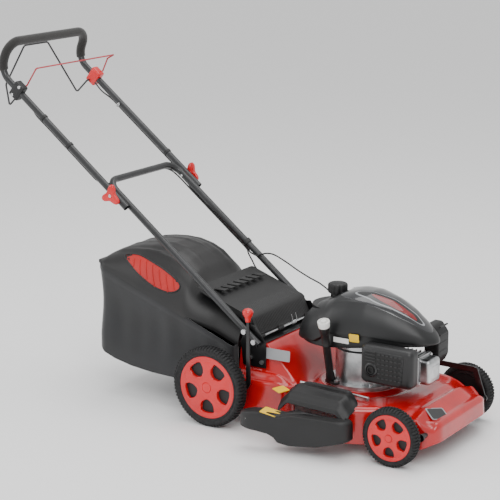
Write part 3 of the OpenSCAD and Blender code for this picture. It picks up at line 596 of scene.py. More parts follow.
def wheel_disc(corner, centre, side, width, rim):
    """Five sectors, each a web between a rounded window and the sector's edge, crowned towards the hub."""
    half = width / 2
    hub, edge = 0.2 * rim, rim + 0.6
    sector = math.radians(36)
    arc_out = np.linspace(-sector, sector, 21)
    arc_in = np.linspace(sector, -sector, 7)
    leg = np.linspace(0, 1, 16)[1:-1]
    outer = [edge * np.array([math.cos(a), math.sin(a)]) for a in arc_out]
    inner = [hub * np.array([math.cos(a), math.sin(a)]) for a in arc_in]
    border = np.array(
        outer + [outer[-1] * (1 - t) + inner[0] * t for t in leg] + inner
        + [inner[-1] * (1 - t) + outer[0] * t for t in leg]
    )
    window = rounded(
        [(0.40 * rim, -0.055 * rim), (0.80 * rim, -0.30 * rim), (0.845 * rim, 0), (0.80 * rim, 0.30 * rim),
        (0.40 * rim, 0.055 * rim)],
        [0.05 * rim, 0.075 * rim, 0.5 * rim, 0.075 * rim, 0.05 * rim], 9,
    )
    middle = np.array([0.66 * rim, 0.0])
    around = np.arctan2(*(window - middle).T[::-1])
    order = np.argsort(around)
    reach = np.linalg.norm(window - middle, axis=1)
    way = border - middle
    hole = np.interp(np.arctan2(way[:, 1], way[:, 0]), around[order], reach[order], period=2 * np.pi)
    hole = middle + unit(way) * hole[:, None]

    def face(p, near):
        """Height of the disc's face: a crown, a raised ring at the rim and a rolled lip round each window."""
        r = np.linalg.norm(p, axis=-1)
        web = half - 2.2 - 3.4 * (r / rim) ** 2
        ring = 1.6 * smoothstep(r, 0.885 * rim, 0.9 * rim)
        spoke = 1.5 * np.cos(np.arctan2(p[..., 1], p[..., 0]) * 5 + np.pi) * smoothstep(r, 0.2 * rim,
            0.6 * rim)
        spoke = spoke * (1 - smoothstep(r, 0.75 * rim, 0.9 * rim))
        return web + ring + spoke - 1.8 * near

    rings, heights = [], []
    for drop in (15, 4, 1.2):
        rings.append(hole)
        heights.append(face(hole, 1.0) - drop)
    for share in (0.0, 0.04, 0.09, 0.18, 0.3, 0.45, 0.62, 0.78, 0.9, 1.0):
        p = hole + (border - hole) * share
        rings.append(p)
        heights.append(face(p, np.full(len(p), max(0.0, 1 - share / 0.12) ** 2)))
    flat, height = np.array(rings), np.array(heights)
    shape = Shape()
    for k in range(5):
        a = math.radians(72 * k - 90)
        x = flat[..., 0] * math.cos(a) - flat[..., 1] * math.sin(a)
        z = flat[..., 0] * math.sin(a) + flat[..., 1] * math.cos(a)
        shape.grid(np.stack([x, side * height, z], -1) + centre, wrap_v=True)
    face_hub = float(face(np.array([hub, 0.0]), 0.0))
    lathe(shape, centre, (0, side, 0), [
        (face_hub, hub), (face_hub + 0.4, 0.175 * rim), (face_hub - 0.8, 0.165 * rim),
        (face_hub + 1.4, 0.15 * rim),
        (face_hub + 2.0, 0.12 * rim), (face_hub + 2.1, 0.03), (face_hub + 2.1, 0.0)], sides=60,
        start=(1, 0, 0))
    rim_face = float(face(np.array([edge, 0.0]), 0.0))
    lathe(shape, centre, (0, side, 0), [
        (rim_face, edge), (rim_face - 2, edge + 1.2), (half - 12, edge + 0.6), (half - 14, edge - 6)],
        sides=100, start=(1, 0, 0))
    # the black drum behind the windows, closed at the back with its own ribs
    lathe(shape, centre, (0, side, 0), [
        (half - 17, rim - 3), (half - 15.5, rim - 12), (half - 15.5, 0.3 * rim), (half - 4, 0.24 * rim),
        (half - 4, 8),
        (-half + 2, 8), (-half + 2, 20), (-half + 9, 0.3 * rim), (-half + 9, rim - 14), (-half + 3, rim - 8),
        (-half + 3, rim + 0.6), (half - 8, rim + 0.4), (half - 17, rim - 3)], sides=60, finish=1,
        start=(1, 0, 0),
    )
    return build(f"disc_{corner}_spokes", shape, [RED_PLASTIC, BLACK_PLASTIC], f"wheel_{corner}",
                 [f"disc_{corner}"], sharp=32)


for end in ("rear", "front"):
    for hand, side in (("right", -1), ("left", 1)):
        corner = f"{end}_{hand}"
        low, high = box_mm(f"tyre_{corner}")
        rim_low, rim_high = box_mm(f"disc_{corner}")
        wheel_centre = (low + high) / 2
        tyre(corner, wheel_centre, side, (high[2] - low[2]) / 2, high[1] - low[1],
            (rim_high[2] - rim_low[2]) / 2)
        wheel_disc(corner, wheel_centre, side, high[1] - low[1], (rim_high[2] - rim_low[2]) / 2)


# ---------- deck ----------
crank = joint_at("rotor_spin")
deck_low, deck_high = box_mm("deck")
flange_low, flange_high = box_mm("engine_base")
DECK_TOP = flange_low[2]
HOUSING_R = deck_high[1]
HOOD_TOP = deck_high[2]
HOOD_HALF = 158
AXLE_HALF = 195
MOUTH_HALF = 146
MOUTH_FOOT = 152


def plan(centre, radius, start, stop, count):
    """An arc of a plan outline, angles in degrees."""
    a = np.radians(np.linspace(start, stop, count))
    return np.stack([centre[0] + radius * np.cos(a), centre[1] + radius * np.sin(a)], -1)


def deck_outline(count):
    """The pan seen from above: a rear box, the round blade housing and a front with round corners."""
    front = deck_high[0]
    right = np.vstack([
        [[deck_low[0], -150]], plan((deck_low[0] + 22, -AXLE_HALF + 22), 22, 180, 270, 7),
        plan((crank[0], 0), HOUSING_R, -132, -52, 40), plan((front - 60, -132), 60, -90, 0, 14),
    ])
    left = right[::-1] * (1, -1)
    return even(np.vstack([right, left, right[:1]]), count, closed=True)


def deck_height(x, y):
    """Top of the pressing: a flat pan falling to the front, the catcher's hood behind, and a raised ring
    under the engine."""
    pan = np.interp(x, [600, 630, 655, 678, 700, 722, 745],
                    [DECK_TOP - 0.5, DECK_TOP - 3, DECK_TOP - 12, 147, 130, 115, 101])
    pan = pan - 20 * smoothstep(np.abs(y), 96, 200) * smoothstep(x, 570, 700)
    hood = np.interp(x, [52, 134, 150, 262, 290],
        [HOOD_TOP - 0.5, HOOD_TOP - 0.5, HOOD_TOP - 6, DECK_TOP - 2, DECK_TOP - 30])
    inside = 1 - smoothstep(np.abs(y), HOOD_HALF - 14, HOOD_HALF + 4)
    raised = np.maximum(hood - pan, 0)
    flare = 26 * np.exp(-((np.abs(y) - HOOD_HALF - 6) / 16) ** 2) * smoothstep(raised, 5, 70)
    r = np.hypot(x - crank[0], y)
    bead = 4.5 * np.exp(-((r - 128) / 9) ** 2) - 5 * np.exp(-((r - 152) / 10) ** 2)
    brow = 3 * np.exp(-((x - 650) / 24) ** 2) * smoothstep(200 - np.abs(y), 20, 90)
    return pan + inside * raised + (1 - inside) * flare + bead * (1 - smoothstep(raised, 2, 30)) + brow


def make_deck():
    """Rings from the engine opening out to the plan outline, over a rolled shoulder and down the skirt to a
    turned hem."""
    count = 420
    outline = deck_outline(count)
    way = outline - crank[:2]
    reach = np.linalg.norm(way, axis=1)
    way = way / reach[:, None]
    normal = unit(np.roll(outline, -1, 0) - np.roll(outline, 1, 0))
    normal = np.stack([normal[:, 1], -normal[:, 0]], -1)
    shoulder = 20.0
    rings = []
    for share in np.linspace(0, 1, 78):
        flat = crank[:2] + way * (59 + (reach - shoulder - 59) * share)[:, None]
        rings.append(np.column_stack([flat, deck_height(flat[:, 0], flat[:, 1])]))
    inner, top = rings[-1][:, :2], rings[-1][:, 2]
    foot = np.interp(outline[:, 0], [52, 600, 690, 745], [37, 37, 47, 62])
    foot = foot - 6 * np.exp(-((outline[:, 0] - 700) / 22) ** 2) * smoothstep(np.abs(outline[:, 1]), 120, 190)
    for t in np.linspace(0, 1, 8)[1:]:
        a = t * math.radians(78)
        flat = inner + (outline - inner) * math.sin(a) / math.sin(math.radians(78)) * 0.92
        rings.append(np.column_stack([flat, top - shoulder * (1 - math.cos(a))]))
    start_flat, start_z = rings[-1][:, :2], rings[-1][:, 2]
    for t in np.linspace(0, 1, 12)[1:]:
        flat = start_flat + (outline - start_flat) * t
        rings.append(np.column_stack([flat, start_z + (foot + 5 - start_z) * t]))
    rings.append(np.column_stack([outline + normal * 0.5, foot + 2]))
    rings.append(np.column_stack([outline, foot]))
    shape = Shape()

    def kept(p):
        """Leaves the side discharge opening and the catcher's mouth open."""
        side_hole = (p[:, 0] > 302) & (p[:, 0] < 488) & (p[:, 1] < -185) & (p[:, 2] > 54) & (p[:, 2] < 128)
        mouth = (p[:, 0] < 62) & (np.abs(p[:, 1]) < MOUTH_HALF) & (p[:, 2] > MOUTH_FOOT) & (p[:, 2] < 246)
        return ~(side_hole | mouth)

    shape.grid(np.array(rings), wrap_v=True, keep=kept)
    build("deck_pressing", shape, [DECK_RED], "deck", ["deck"], wall=2.4, sharp=45)


make_deck()


# ---------- engine ----------
SHROUD_SIDE = [
    (200, -46), (226, -88), (276, -114), (340, -120), (410, -114), (500, -93), (580, -68), (630, -46),
    (650, -22),
]
SHROUD_PLAN = [(194, 0), *SHROUD_SIDE, (655, 0), *((x, -y) for x, y in SHROUD_SIDE[::-1])]
shroud_middle = np.array([420.0, 0.0])
shroud_rim = curve(SHROUD_PLAN, 168, closed=True)
rim_angle = np.arctan2(shroud_rim[:, 1], shroud_rim[:, 0] - shroud_middle[0])
rim_order = np.argsort(rim_angle)


def shroud_share(x, y):
    """How far out a point lies, from 0 at the middle to 1 at the shroud's rim."""
    a = np.arctan2(y, x - shroud_middle[0])
    reach = np.linalg.norm(shroud_rim - shroud_middle, axis=1)
    rim = np.interp(a, rim_angle[rim_order], reach[rim_order], period=2 * np.pi)
    return np.hypot(x - shroud_middle[0], y) / rim


def shroud_foot(x):
    """Height of the ledge round the shroud, low behind and raised from the cap forwards."""
    return np.interp(x, [194, 286, 340, 450, 560, 655], [286, 292, 324, 331, 320, 314])


def housing_foot(x):
    """Height of the lower edge of the fan housing under the ledge."""
    return np.interp(x, [194, 318, 500, 600, 655], [273, 273, 291, 301, 303])


def shroud_crown(x):
    """Height of the crest: level round the cap, highest over the fan and falling to the nose."""
    knots = np.array([[194, 380], [232, 408], [273, 416], [312, 418], [345, 434], [394, 442], [447, 443.5],
        [516, 430],
                      [575, 406], [615, 384], [656, 352]])
    return np.interp(x, *knots.T)


def shroud_height(x, y):
    """The crest line carried down to the ledge by a rounded fall, with a soft crease along each shoulder."""
    share = np.clip(shroud_share(x, y), 0, 1)
    fall = (1 - share ** 2.7) ** 0.5
    foot = shroud_foot(x)
    crease = 2.2 * np.exp(-((share - 0.7) / 0.035) ** 2) * smoothstep(x, 330, 400)
    dish = 5 * np.exp(-((np.hypot(x - joint_at("fuel_cap_turn")[0], y) - 36) / 9) ** 2)
    return foot + (shroud_crown(x) - foot) * fall + crease - dish


def make_shroud():
    """Rings of the fan cover from its crest to the ledge, stepped in to the housing wall below it."""
    share = np.r_[np.linspace(0.02, 0.66, 30), np.linspace(0.67, 0.74, 8),
        1 - 0.25 * np.cos(np.linspace(0.15, np.pi / 2, 18))]
    flat = shroud_middle + (shroud_rim - shroud_middle)[None] * share[:, None, None]
    height = shroud_height(flat[..., 0], flat[..., 1])
    height[-1] = shroud_foot(flat[-1, :, 0])
    rings = [np.dstack([flat, height])]
    rim_x = shroud_rim[:, 0]
    foot, base = shroud_foot(rim_x), housing_foot(rim_x)
    for inset, z in [(1.0, foot - 3), (0.995, foot - 5), (0.93, foot - 5.5), (0.92, foot - 7),
            (0.925, (foot + base) / 2),
                     (0.93, base + 2), (0.92, base)]:
        ledge = shroud_middle + (shroud_rim - shroud_middle) * inset
        rings.append(np.column_stack([ledge, z])[None])
    shape = Shape().grid(np.vstack(rings), wrap_v=True)
    shape.fan(rings[0][0], np.array([*shroud_middle, shroud_height(*shroud_middle)]))
    build("shroud_shell", shape, [SHROUD_PLASTIC], "deck", ["shroud"], wall=2.5, sharp=32)


make_shroud()


def make_shroud_trim():
    """The smooth top panel and its lens-shaped badge with a pale outline, both blank and laid on the shell.
    """
    panel = curve([(352, -58), (420, -74), (500, -66), (570, -48), (618, -28), (634, 0), (618, 28),
        (570, 48), (500, 66),
                   (420, 74), (352, 58), (346, 0)], 72, closed=True)
    shape = slab(Shape(), panel, 3, lift=1.3, round_edge=1.2, rings=14, top=shroud_height)
    build("shroud_top_panel", shape, [PANEL_PLASTIC], "deck", sharp=50)
    lens = curve([(400, -52), (470, -60), (550, -44), (604, -22), (610, -4), (560, -2), (480, -16),
        (410, -34)], 64, closed=True)
    shape = slab(Shape(), lens, 2.6, lift=1.9, rings=12, top=shroud_height)
    middle = lens.mean(0)
    slab(shape, middle + (lens - middle) * (0.95, 0.86), 2.6, finish=1, lift=2.2, rings=12, top=shroud_height)
    glow = middle + (16, -1) + (lens - middle) * (0.66, 0.5)
    slab(shape, glow, 2.6, finish=2, lift=2.5, rings=10, top=shroud_height)
    build("shroud_badge", shape, [SILVER_FILM, BLACK_FILM, RED_FILM], "deck", sharp=50)


make_shroud_trim()


def make_fuel_cap():
    """A domed cap with a knurled skirt, over a plain neck."""
    base = joint_at("fuel_cap_turn")
    low, high = box_mm("fuel_cap")
    r, foot = (high[0] - low[0]) / 2, low[2]
    crown = high[2] - foot

    def knurl(angle, row):
        """Twelve broad grips on the skirt, none on the dome."""
        return np.where((row > 1) & (row < 8), 1 + 0.045 * np.tanh(3 * np.cos(12 * angle)), 1.0)

    shape = lathe(Shape(), (base[0], base[1], foot), (0, 0, 1), [
        (0, 0.0), (0, r - 5), (1, r - 4), (2, r - 2.2), (6, r - 1.6), (crown - 9, r - 1.8),
        (crown - 6, r - 2.4),
        (crown - 4, r - 4), (crown - 2.6, r - 7), (crown - 2.2, r - 9), (crown - 3.4, r - 10),
        (crown - 3.2, r - 12),
        (crown - 0.6, r - 17), (crown, 5), (crown, 0.0)], sides=192, ripple=knurl)
    build("fuel_cap_knurled", shape, [BLACK_PLASTIC], "fuel_cap", ["fuel_cap"], sharp=40)


make_fuel_cap()


def make_oil_filler():
    """A tapered filler tube with a bolted foot, a white dipstick collar and a ribbed mouth."""
    top = joint_at("oil_cap_turn")
    axis = np.array(joints["oil_cap_turn"]["axis"])
    length = 198.0
    shape = lathe(Shape(), top, axis, [
        (-length, 0.0), (-length, 13), (-length + 8, 15), (-length + 26, 13.5), (-length + 34, 11.5),
        (-70, 12), (-66, 13.5),
        (-62, 13.5), (-60, 12.5), (-22, 14), (-20, 15.4), (-2, 15.8), (-1, 15), (-1, 9), (-30, 8),
        (-30, 0.0)], sides=40)
    foot = top - axis * (length - 4)
    mark = len(shape.points)
    slab(shape, rounded([(-20, -12), (34, -12), (34, 12), (-20, 12)], 11), 7, round_edge=1.2)
    placed(shape, (foot[0], foot[1], 168), (1, -0.35, 0), (0.35, 1, 0), mark)
    lathe(shape, (foot[0] + 23, foot[1] - 8, 167), (0, 0, 1), [(0, 7.5), (5, 7.5), (6, 6), (6, 0.0)],
        sides=6, finish=1)
    build("oil_filler", shape, [BLACK_PLASTIC, ZINC], "deck", ["oil_tube"], sharp=35)
    collar = lathe(Shape(), top, axis, [
        (0.5, 0.0), (0.5, 16), (1, 17.5), (17, 19), (20, 18), (20.5, 15.5), (18, 14.5), (14, 14), (14, 9),
        (22, 8), (22, 0.0)],
        sides=40)
    build("oil_cap_collar", collar, [WHITE_FILM], "oil_cap", ["oil_cap"], sharp=40)


make_oil_filler()


def make_muffler_guard():
    """A rounded box, cut on its right face by a framed panel with a round outlet, rows of slots and louvres
    on top."""
    low, high = box_mm("muffler_guard")
    shape = block(Shape(), (low[0], low[1] + 6, low[2]), (high[0], high[1], high[2]), edge=17)
    frame_outline = rounded([(-77, -50), (56, -50), (64, 46), (-77, 50)], [14, 14, 12, 14], 8)
    mark = len(shape.points)
    slab(shape, frame_outline, 12, round_edge=2.5, rings=3, lift=4)
    slab(shape, frame_outline * 0.9 + (-2, 0), 3, finish=1, rings=3, lift=4.5)
    placed(shape, ((low[0] + high[0]) / 2 - 2, low[1] + 7.5, (low[2] + high[2]) / 2 - 2), (1, 0, 0),
        (0, 0, 1), mark)
    face_y = low[1] + 3
    outlet = (low[0] + 41, low[2] + 46)
    for column in range(6):
        for row in range(6):
            x, z = low[0] + 62 + 14 * column, low[2] + 22 + 14.4 * row
            block(shape, (x, face_y - 2.2, z), (x + 9.4, face_y + 2, z + 5.2), edge=1.0, finish=2)
    for row in range(4):
        z = outlet[1] + 26 + 9.5 * row
        block(shape, (outlet[0] - 20, face_y - 2.2, z), (outlet[0] + 14, face_y + 2, z + 4.5), edge=1.0,
            finish=2)
    lathe(shape, (outlet[0], face_y + 2, outlet[1]), (0, -1, 0), [
        (0, 22), (3.5, 21.5), (5.2, 19), (5.2, 15.5), (3, 14), (-2, 13.5), (-2, 0.0)], sides=48,
        start=(1, 0, 0), finish=2)
    lathe(shape, (outlet[0], face_y + 2, outlet[1]), (0, -1, 0), [
        (-1.8, 12), (3.5, 11.5), (4.2, 10.5), (3.5, 9.5), (-1.7, 9), (-1.7, 0.0)], sides=48, start=(1, 0, 0),
        finish=1)
    for k in range(3):
        x = low[0] + 22 + 38 * k
        block(shape, (x, low[1] + 22, high[2] - 3), (x + 30, low[1] + 27, high[2] + 0.6), edge=0.9, finish=1)
    build("muffler_guard_pressing", shape, [GUARD_BLACK, GUARD_DARK, BLACK_STEEL], "deck",
          ["muffler_guard"], sharp=35)


make_muffler_guard()


def make_valve_cover():
    """The rounded cast head cover with its flange and four bolts."""
    low, high = box_mm("valve_cover")
    shape = block(Shape(), (low[0], low[1], low[2]), (low[0] + 12, high[1], high[2]), edge=3)
    block(shape, (low[0] + 6, low[1] + 5, low[2] + 5), (high[0], high[1] - 5, high[2] - 6), edge=13)
    block(shape, (low[0] + 8, low[1] + 18, low[2] + 20), (high[0] + 1.6, high[1] - 18, high[2] - 24), edge=5)
    for y in (low[1] + 7, high[1] - 7):
        for z in (low[2] + 8, high[2] - 8):
            lathe(shape, (low[0] + 10, y, z), (1, 0, 0), [(0, 6.5), (5, 6.5), (6.5, 5.2), (6.5, 0.0)],
                sides=6, finish=1)
    build("valve_cover_casting", shape, [ALUMINIUM, ZINC], "deck", ["valve_cover"],
        sharp=35)


make_valve_cover()


def make_air_duct():
    """A tall rounded filter box with four ribs across its front."""
    low, high = box_mm("air_filter_cover")
    shape = Shape()
    outline = rounded([(low[0], low[2]), (high[0] - 12, low[2]), (high[0], low[2] + 26),
        (high[0], high[2] - 30),
                       (high[0] - 22, high[2]), (low[0], high[2])], [5, 10, 14, 20, 14, 5], 8)
    mark = len(shape.points)
    slab(shape, outline - (low[0], low[2]), high[1] - low[1], round_edge=5, rings=4)
    placed(shape, (low[0], low[1], low[2]), (1, 0, 0), (0, 0, 1), mark)
    for k in range(4):
        z = low[2] + 40 + 26 * k
        block(shape, (high[0] - 4, low[1] + 8, z), (high[0] + 1.2, high[1] - 8, z + 5), edge=1.6)
    build("air_filter_box", shape, [BLACK_PLASTIC], "deck", ["air_filter_cover"], sharp=40)


make_air_duct()


# ---------- catcher ----------
lid_low, lid_high = box_mm("catcher_lid")
bag_low, bag_high = box_mm("catcher_bag")
SEAM_SLOPE = (447 - 246) / (42 + 488)


def seam_height(x):
    """The straight joint between lid and fabric, rising to the rear."""
    return lid_low[2] + (lid_high[0] - x) * SEAM_SLOPE


def lid_half_width(x):
    """Full width over the bag, drawn in to the neck that slips under the flap."""
    neck = smoothstep(x, -150, -40)
    tail = smoothstep(-x, 455, 490)
    return (lid_high[1] - 1) * (1 - neck) + 153 * neck - 16 * tail


def lid_crest(x):
    """Height of the lid's middle line."""
    knots = np.array([[-490, 452], [-470, 466], [-430, 482], [-380, 494], [-330, 501], [-280, 502],
        [-230, 492], [-190, 474],
                      [-150, 442], [-125, 408], [-100, 388], [-40, 362], [42, 327]])
    return np.interp(x, *knots.T)


def lid_height(x, share):
    """A full, flat-topped arch from seam to seam, with a long facet over the vents and two ridges beside the
    middle."""
    share = np.abs(share)
    arch = (1 - share ** 3.4) ** 0.62
    crest = lid_crest(x)
    open_part = smoothstep(-x, 130, 190) * smoothstep(x, -470, -420)
    ridge = 5 * np.exp(-((share - 0.62) / 0.05) ** 2) - 3.5 * np.exp(-((share - 0.52) / 0.06) ** 2)
    ripple = 3.0 * np.exp(-((share - 0.2) / 0.03) ** 2)
    return seam_height(x) + (crest - seam_height(x)) * arch + (ridge + ripple) * open_part


def make_catcher_lid():
    """Arched ribs from one seam over the top to the other, closed behind by a rounded tail and in front by a
    plain end."""
    x = np.r_[np.linspace(lid_low[0] + 0.5, lid_low[0] + 30, 10),
        np.linspace(lid_low[0] + 34, lid_high[0], 74)]
    a = np.linspace(-np.pi / 2, np.pi / 2, 81)
    share = np.sign(a) * np.abs(np.sin(a)) ** 0.9
    X, S = np.meshgrid(x, share, indexing="ij")
    half = lid_half_width(X)
    tail = np.sqrt(np.clip(1 - (np.clip(lid_low[0] + 30 - X, 0, 29.5) / 31) ** 2, 0.05, 1))
    seam = seam_height(X)
    Z = seam + (lid_height(X, S) - seam) * tail
    top = np.stack([X, S * half, Z], -1)
    hem = np.stack([top[:, [0, -1]] - (0, 0, d) for d in (4, 9)], 0)
    shape = Shape()
    ribs = np.concatenate([hem[::-1, :, 0].transpose(1, 0, 2), top, hem[:, :, 1].transpose(1, 0, 2)], 1)
    shape.grid(ribs)
    for row in (ribs[0], ribs[-1]):
        shape.fan(row, row.mean(0))
    build("catcher_lid_moulding", shape, [LID_PLASTIC], "catcher", ["catcher_lid"], sharp=50)


make_catcher_lid()


def vent_outline(count):
    """An almond, blunt in front and drawn to a point behind, in the side's own plane."""
    return curve([(-399, 468), (-350, 474), (-300, 464), (-240, 444), (-190, 418), (-172, 400), (-180, 386),
        (-210, 380),
                  (-262, 392), (-320, 420), (-366, 448)], count, closed=True)


def make_vents():
    """A red grille with slanting bars and a dark border in each side of the lid."""
    shape = Shape()
    for side in (-1, 1):
        outline = vent_outline(56)
        share = np.linspace(0, 1, 9)
        middle = outline.mean(0)
        flat = middle + (outline - middle)[None] * share[1:, None, None]

        def skin(p, sink):
            """The lid's surface at a height on its side, sunk by a few millimetres."""
            x, z = p[..., 0], p[..., 1]
            tall = np.clip((z - seam_height(x)) / (lid_crest(x) - seam_height(x)), 0, 0.999)
            y = lid_half_width(x) * (1 - tall ** (1 / 0.62)) ** (1 / 3.4)
            return np.stack([x, side * (y + 1.2 - sink), z], -1)

        bowl = skin(flat, 0.9)
        shape.grid(bowl, wrap_v=True, finish=0)
        shape.fan(bowl[0], skin(middle, 0.9), 0)
        back = skin(flat, 7.0)
        shape.grid(back, wrap_v=True, finish=0)
        shape.fan(back[0], skin(middle, 7.0), 0)
        shape.grid(np.stack([bowl[-1], back[-1]]), wrap_v=True)
        ring = skin(np.vstack([outline, outline[:1]]), 1.0)
        tube(shape, ring, 2.4, 8, finish=1, ends=False)
        for k in range(9):
            along = np.linspace(0, 1, 10)[:, None]
            x0 = -385 + 23 * k
            low_z, high_z = 380, 474
            bar = np.hstack([x0 + 40 * along, low_z + (high_z - low_z) * (1 - along)])
            inside = inside_outline(bar, outline)
            if inside.sum() > 2:
                tube(shape, skin(bar[inside], -0.2), 1.4, 6, finish=0)
    build("vent_grille_sides", shape, [VENT_RED, LID_PLASTIC], "catcher", ["vent_grilles"],
        sharp=45)


def inside_outline(points, outline):
    """Which points lie inside a closed outline, by counting the edges to their right."""
    a, b = outline, np.roll(outline, -1, 0)
    px, py = points[:, 0:1], points[:, 1:2]
    crosses = (a[None, :, 1] > py) != (b[None, :, 1] > py)
    step = np.where(b[:, 1] == a[:, 1], 1e-9, b[:, 1] - a[:, 1])
    at = a[None, :, 0] + (py - a[None, :, 1]) * (b[None, :, 0] - a[None, :, 0]) / step[None]
    return (crosses & (at > px)).sum(1) % 2 == 1


make_vents()


def bag_floor(x):
    """Height of the bag's bottom along its length: low in the middle, turned up at the rear corner."""
    knots = np.array([[-494, 188], [-484, 160], [-462, 143], [-420, 128], [-353, 114], [-270, 106],
        [-187, 104], [-60, 105], [42, 107]])
    return np.interp(x, *knots.T)


def make_fabric_bag():
    """A sewn shell: walls hung from the seam round a rounded box, drawn in at half height, over a sagging
    floor."""
    rng = np.random.default_rng(7)
    half = bag_high[1] - 2
    front, rear = bag_high[0] - 1, bag_low[0] + 2
    outline = rounded([(front, -half), (rear, -half), (rear, half), (front, half)], [6, 34, 34, 6], 10)
    outline = even(np.vstack([outline, outline[:1]]), 300, closed=True)
    out = unit(np.roll(outline, -1, 0) - np.roll(outline, 1, 0))
    out = np.stack([-out[:, 1], out[:, 0]], -1)
    out = out * np.sign((out * (outline - outline.mean(0))).sum(1))[:, None]
    along = np.linspace(0, 2 * np.pi, 300, endpoint=False)
    waves = sum(np.sin(k * along + rng.uniform(0, 6.28)) * rng.uniform(0.4, 1.0) for k in (5, 9, 14, 23)) / 3
    slack = smoothstep(np.abs(outline[:, 0] - front), 10, 60)
    rings = []
    for v in np.linspace(0, 1, 30):
        top = seam_height(outline[:, 0]) - 2
        foot = bag_floor(outline[:, 0])
        hollow = -9 * math.sin(math.pi * min(1, v * 1.15)) ** 1.4 * slack
        folds = 2.6 * waves * np.sin(v * 3.1 + 0.6 * np.sin(along * 3)) * slack * math.sin(math.pi * min(1,
            v + 0.05))
        welt = 1.6 * math.exp(-((v - 0.06) / 0.02) ** 2)
        shift = hollow + folds + welt
        limit = np.where(np.abs(outline[:, 0] - front) < 12, 0, shift)
        flat = outline + out * limit[:, None]
        rings.append(np.column_stack([flat, top + (foot - top) * v]))
    centre = np.array([(front + rear) / 2, 0.0])
    for t in np.linspace(0, 1, 16)[1:-1]:
        flat = centre + (outline - centre) * (1 - t)
        sag = -4 * math.sin(math.pi * t * 0.5) ** 0.7
        rings.append(np.column_stack([flat, bag_floor(flat[:, 0]) + sag * 0.5 + 1.2 * waves * (1 - t)]))
    shape = Shape()

    def kept(p):
        """Leaves the mouth open to the deck."""
        return ~((p[:, 0] > front - 4) & (np.abs(p[:, 1]) < MOUTH_HALF) & (p[:, 2] > MOUTH_FOOT) & (p[:,
            2] < 244))

    shape.grid(np.array(rings), wrap_v=True, keep=kept)
    shape.fan(rings[-1], np.array([*centre, bag_floor(centre[0]) - 3]))
    piece = build("catcher_fabric", shape, [FABRIC], "catcher", ["catcher_bag"], wall=1.4, sharp=60)
    return piece


make_fabric_bag()


# ---------- handle ----------
SLOPE = math.radians(38)
FOLD = joint_at("lower_handle_fold")
LOWER_Y = 178.0
UPPER_Y = abs(joint_at("knob_right_turn")[1])
TUBE_R = 11.0
TOP_S = 1235.0
CROSSBAR_S = 711.0
UP_LEG = np.array([-math.cos(SLOPE), 0, math.sin(SLOPE)])
OFF_LEG = np.array([math.sin(SLOPE), 0, math.cos(SLOPE)])


def hp(s, y, n=0.0):
    """A point on the handle: s up the leg from its fold, y across, n square to the leg."""
    return np.array([FOLD[0], y, FOLD[2]]) + s * UP_LEG + n * OFF_LEG


def make_grip():
    """A foam sleeve round the crossbar from the middle of one top bend to the other, its ends rolled in."""
    lean = math.radians(68)
    rise = 104 * np.array([math.cos(lean), 0, math.sin(lean)])
    corner = hp(TOP_S, 0)
    side = (0, UPPER_Y, 0)
    corners = [hp(TOP_S - 85, 0) - side, corner - side, corner + rise - side, corner + rise + side,
        corner + side,
               hp(TOP_S - 85, 0) + side]
    path = even(bent(corners, [60, 48, 48, 60]), 600)
    reach = np.r_[0, np.cumsum(np.linalg.norm(np.diff(path, axis=0), axis=1))]
    path = path[(reach > 78) & (reach < reach[-1] - 78)]
    path = even(path, 260)
    reach = np.r_[0, np.cumsum(np.linalg.norm(np.diff(path, axis=0), axis=1))]
    from_end = np.minimum(reach, reach[-1] - reach)
    radius = 11.3 + 4.0 * np.sqrt(np.clip(1 - (1 - np.clip(from_end / 5, 0, 1)) ** 2, 0, 1))
    shape = tube(Shape(), path, radius, 28)
    piece = build("grip_foam_sleeve", shape, [FOAM], "upper_handle", ["grip"], sharp=60)


make_grip()


def make_clamp_knobs():
    """Three-armed knobs with hollow flanks, a pale disc in the middle and the stud through both tubes."""
    def arms(angle, row):
        """Long at three arms and drawn in between them, on the outer rows only."""
        reach = 0.5 + 0.5 * ((1 + np.cos(3 * angle)) / 2) ** 1.5
        return np.where((row > 2) & (row < 9), reach, 1.0)

    for hand, side in (("right", -1), ("left", 1)):
        at = joint_at(f"knob_{hand}_turn")
        base = np.array([at[0], side * (UPPER_Y + TUBE_R + 0.4), at[2]])
        shape = lathe(Shape(), base, (0, side, 0), [
            (0, 0.0), (0, 12), (1.5, 15), (2, 33), (3.4, 36), (10, 36.6), (12.6, 35), (13.8, 32), (14.2, 28),
            (14.4, 11), (14.4, 7.5), (13.4, 6.5), (13.4, 0.0)], sides=120, start=-UP_LEG, ripple=arms)
        lathe(shape, base, (0, side, 0), [(13.0, 5.6), (14.2, 5.4), (14.6, 4.6), (14.6, 0.0)], sides=24,
            finish=1)
        tube(shape, [base - (0, side * 2 * TUBE_R * 2.1, 0), base], 3.9, 16, finish=1)
        build(f"knob_{hand}_star", shape, [RED_PLASTIC, ZINC], f"knob_{hand}",
            [f"knob_{hand}"], sharp=38)


make_clamp_knobs()


def make_height_knob():
    """A pear-shaped ball on the height lever."""
    low, high = box_mm("height_knob")
    middle = (low + high) / 2
    shape = lathe(Shape(), (middle[0], middle[1], low[2]), (0, 0, 1), [
        (0, 0.0), (0, 7), (1, 8.2), (8, 8.8), (14, 10.5), (20, 13.8), (26, 16.4), (31, 17), (36, 15.6),
        (40, 11.6),
        (42.4, 6), (43, 0.0)], sides=40)
    build("height_knob_ball", shape, [RED_PLASTIC], "rear_crank", ["height_knob"], sharp=50)


make_height_knob()


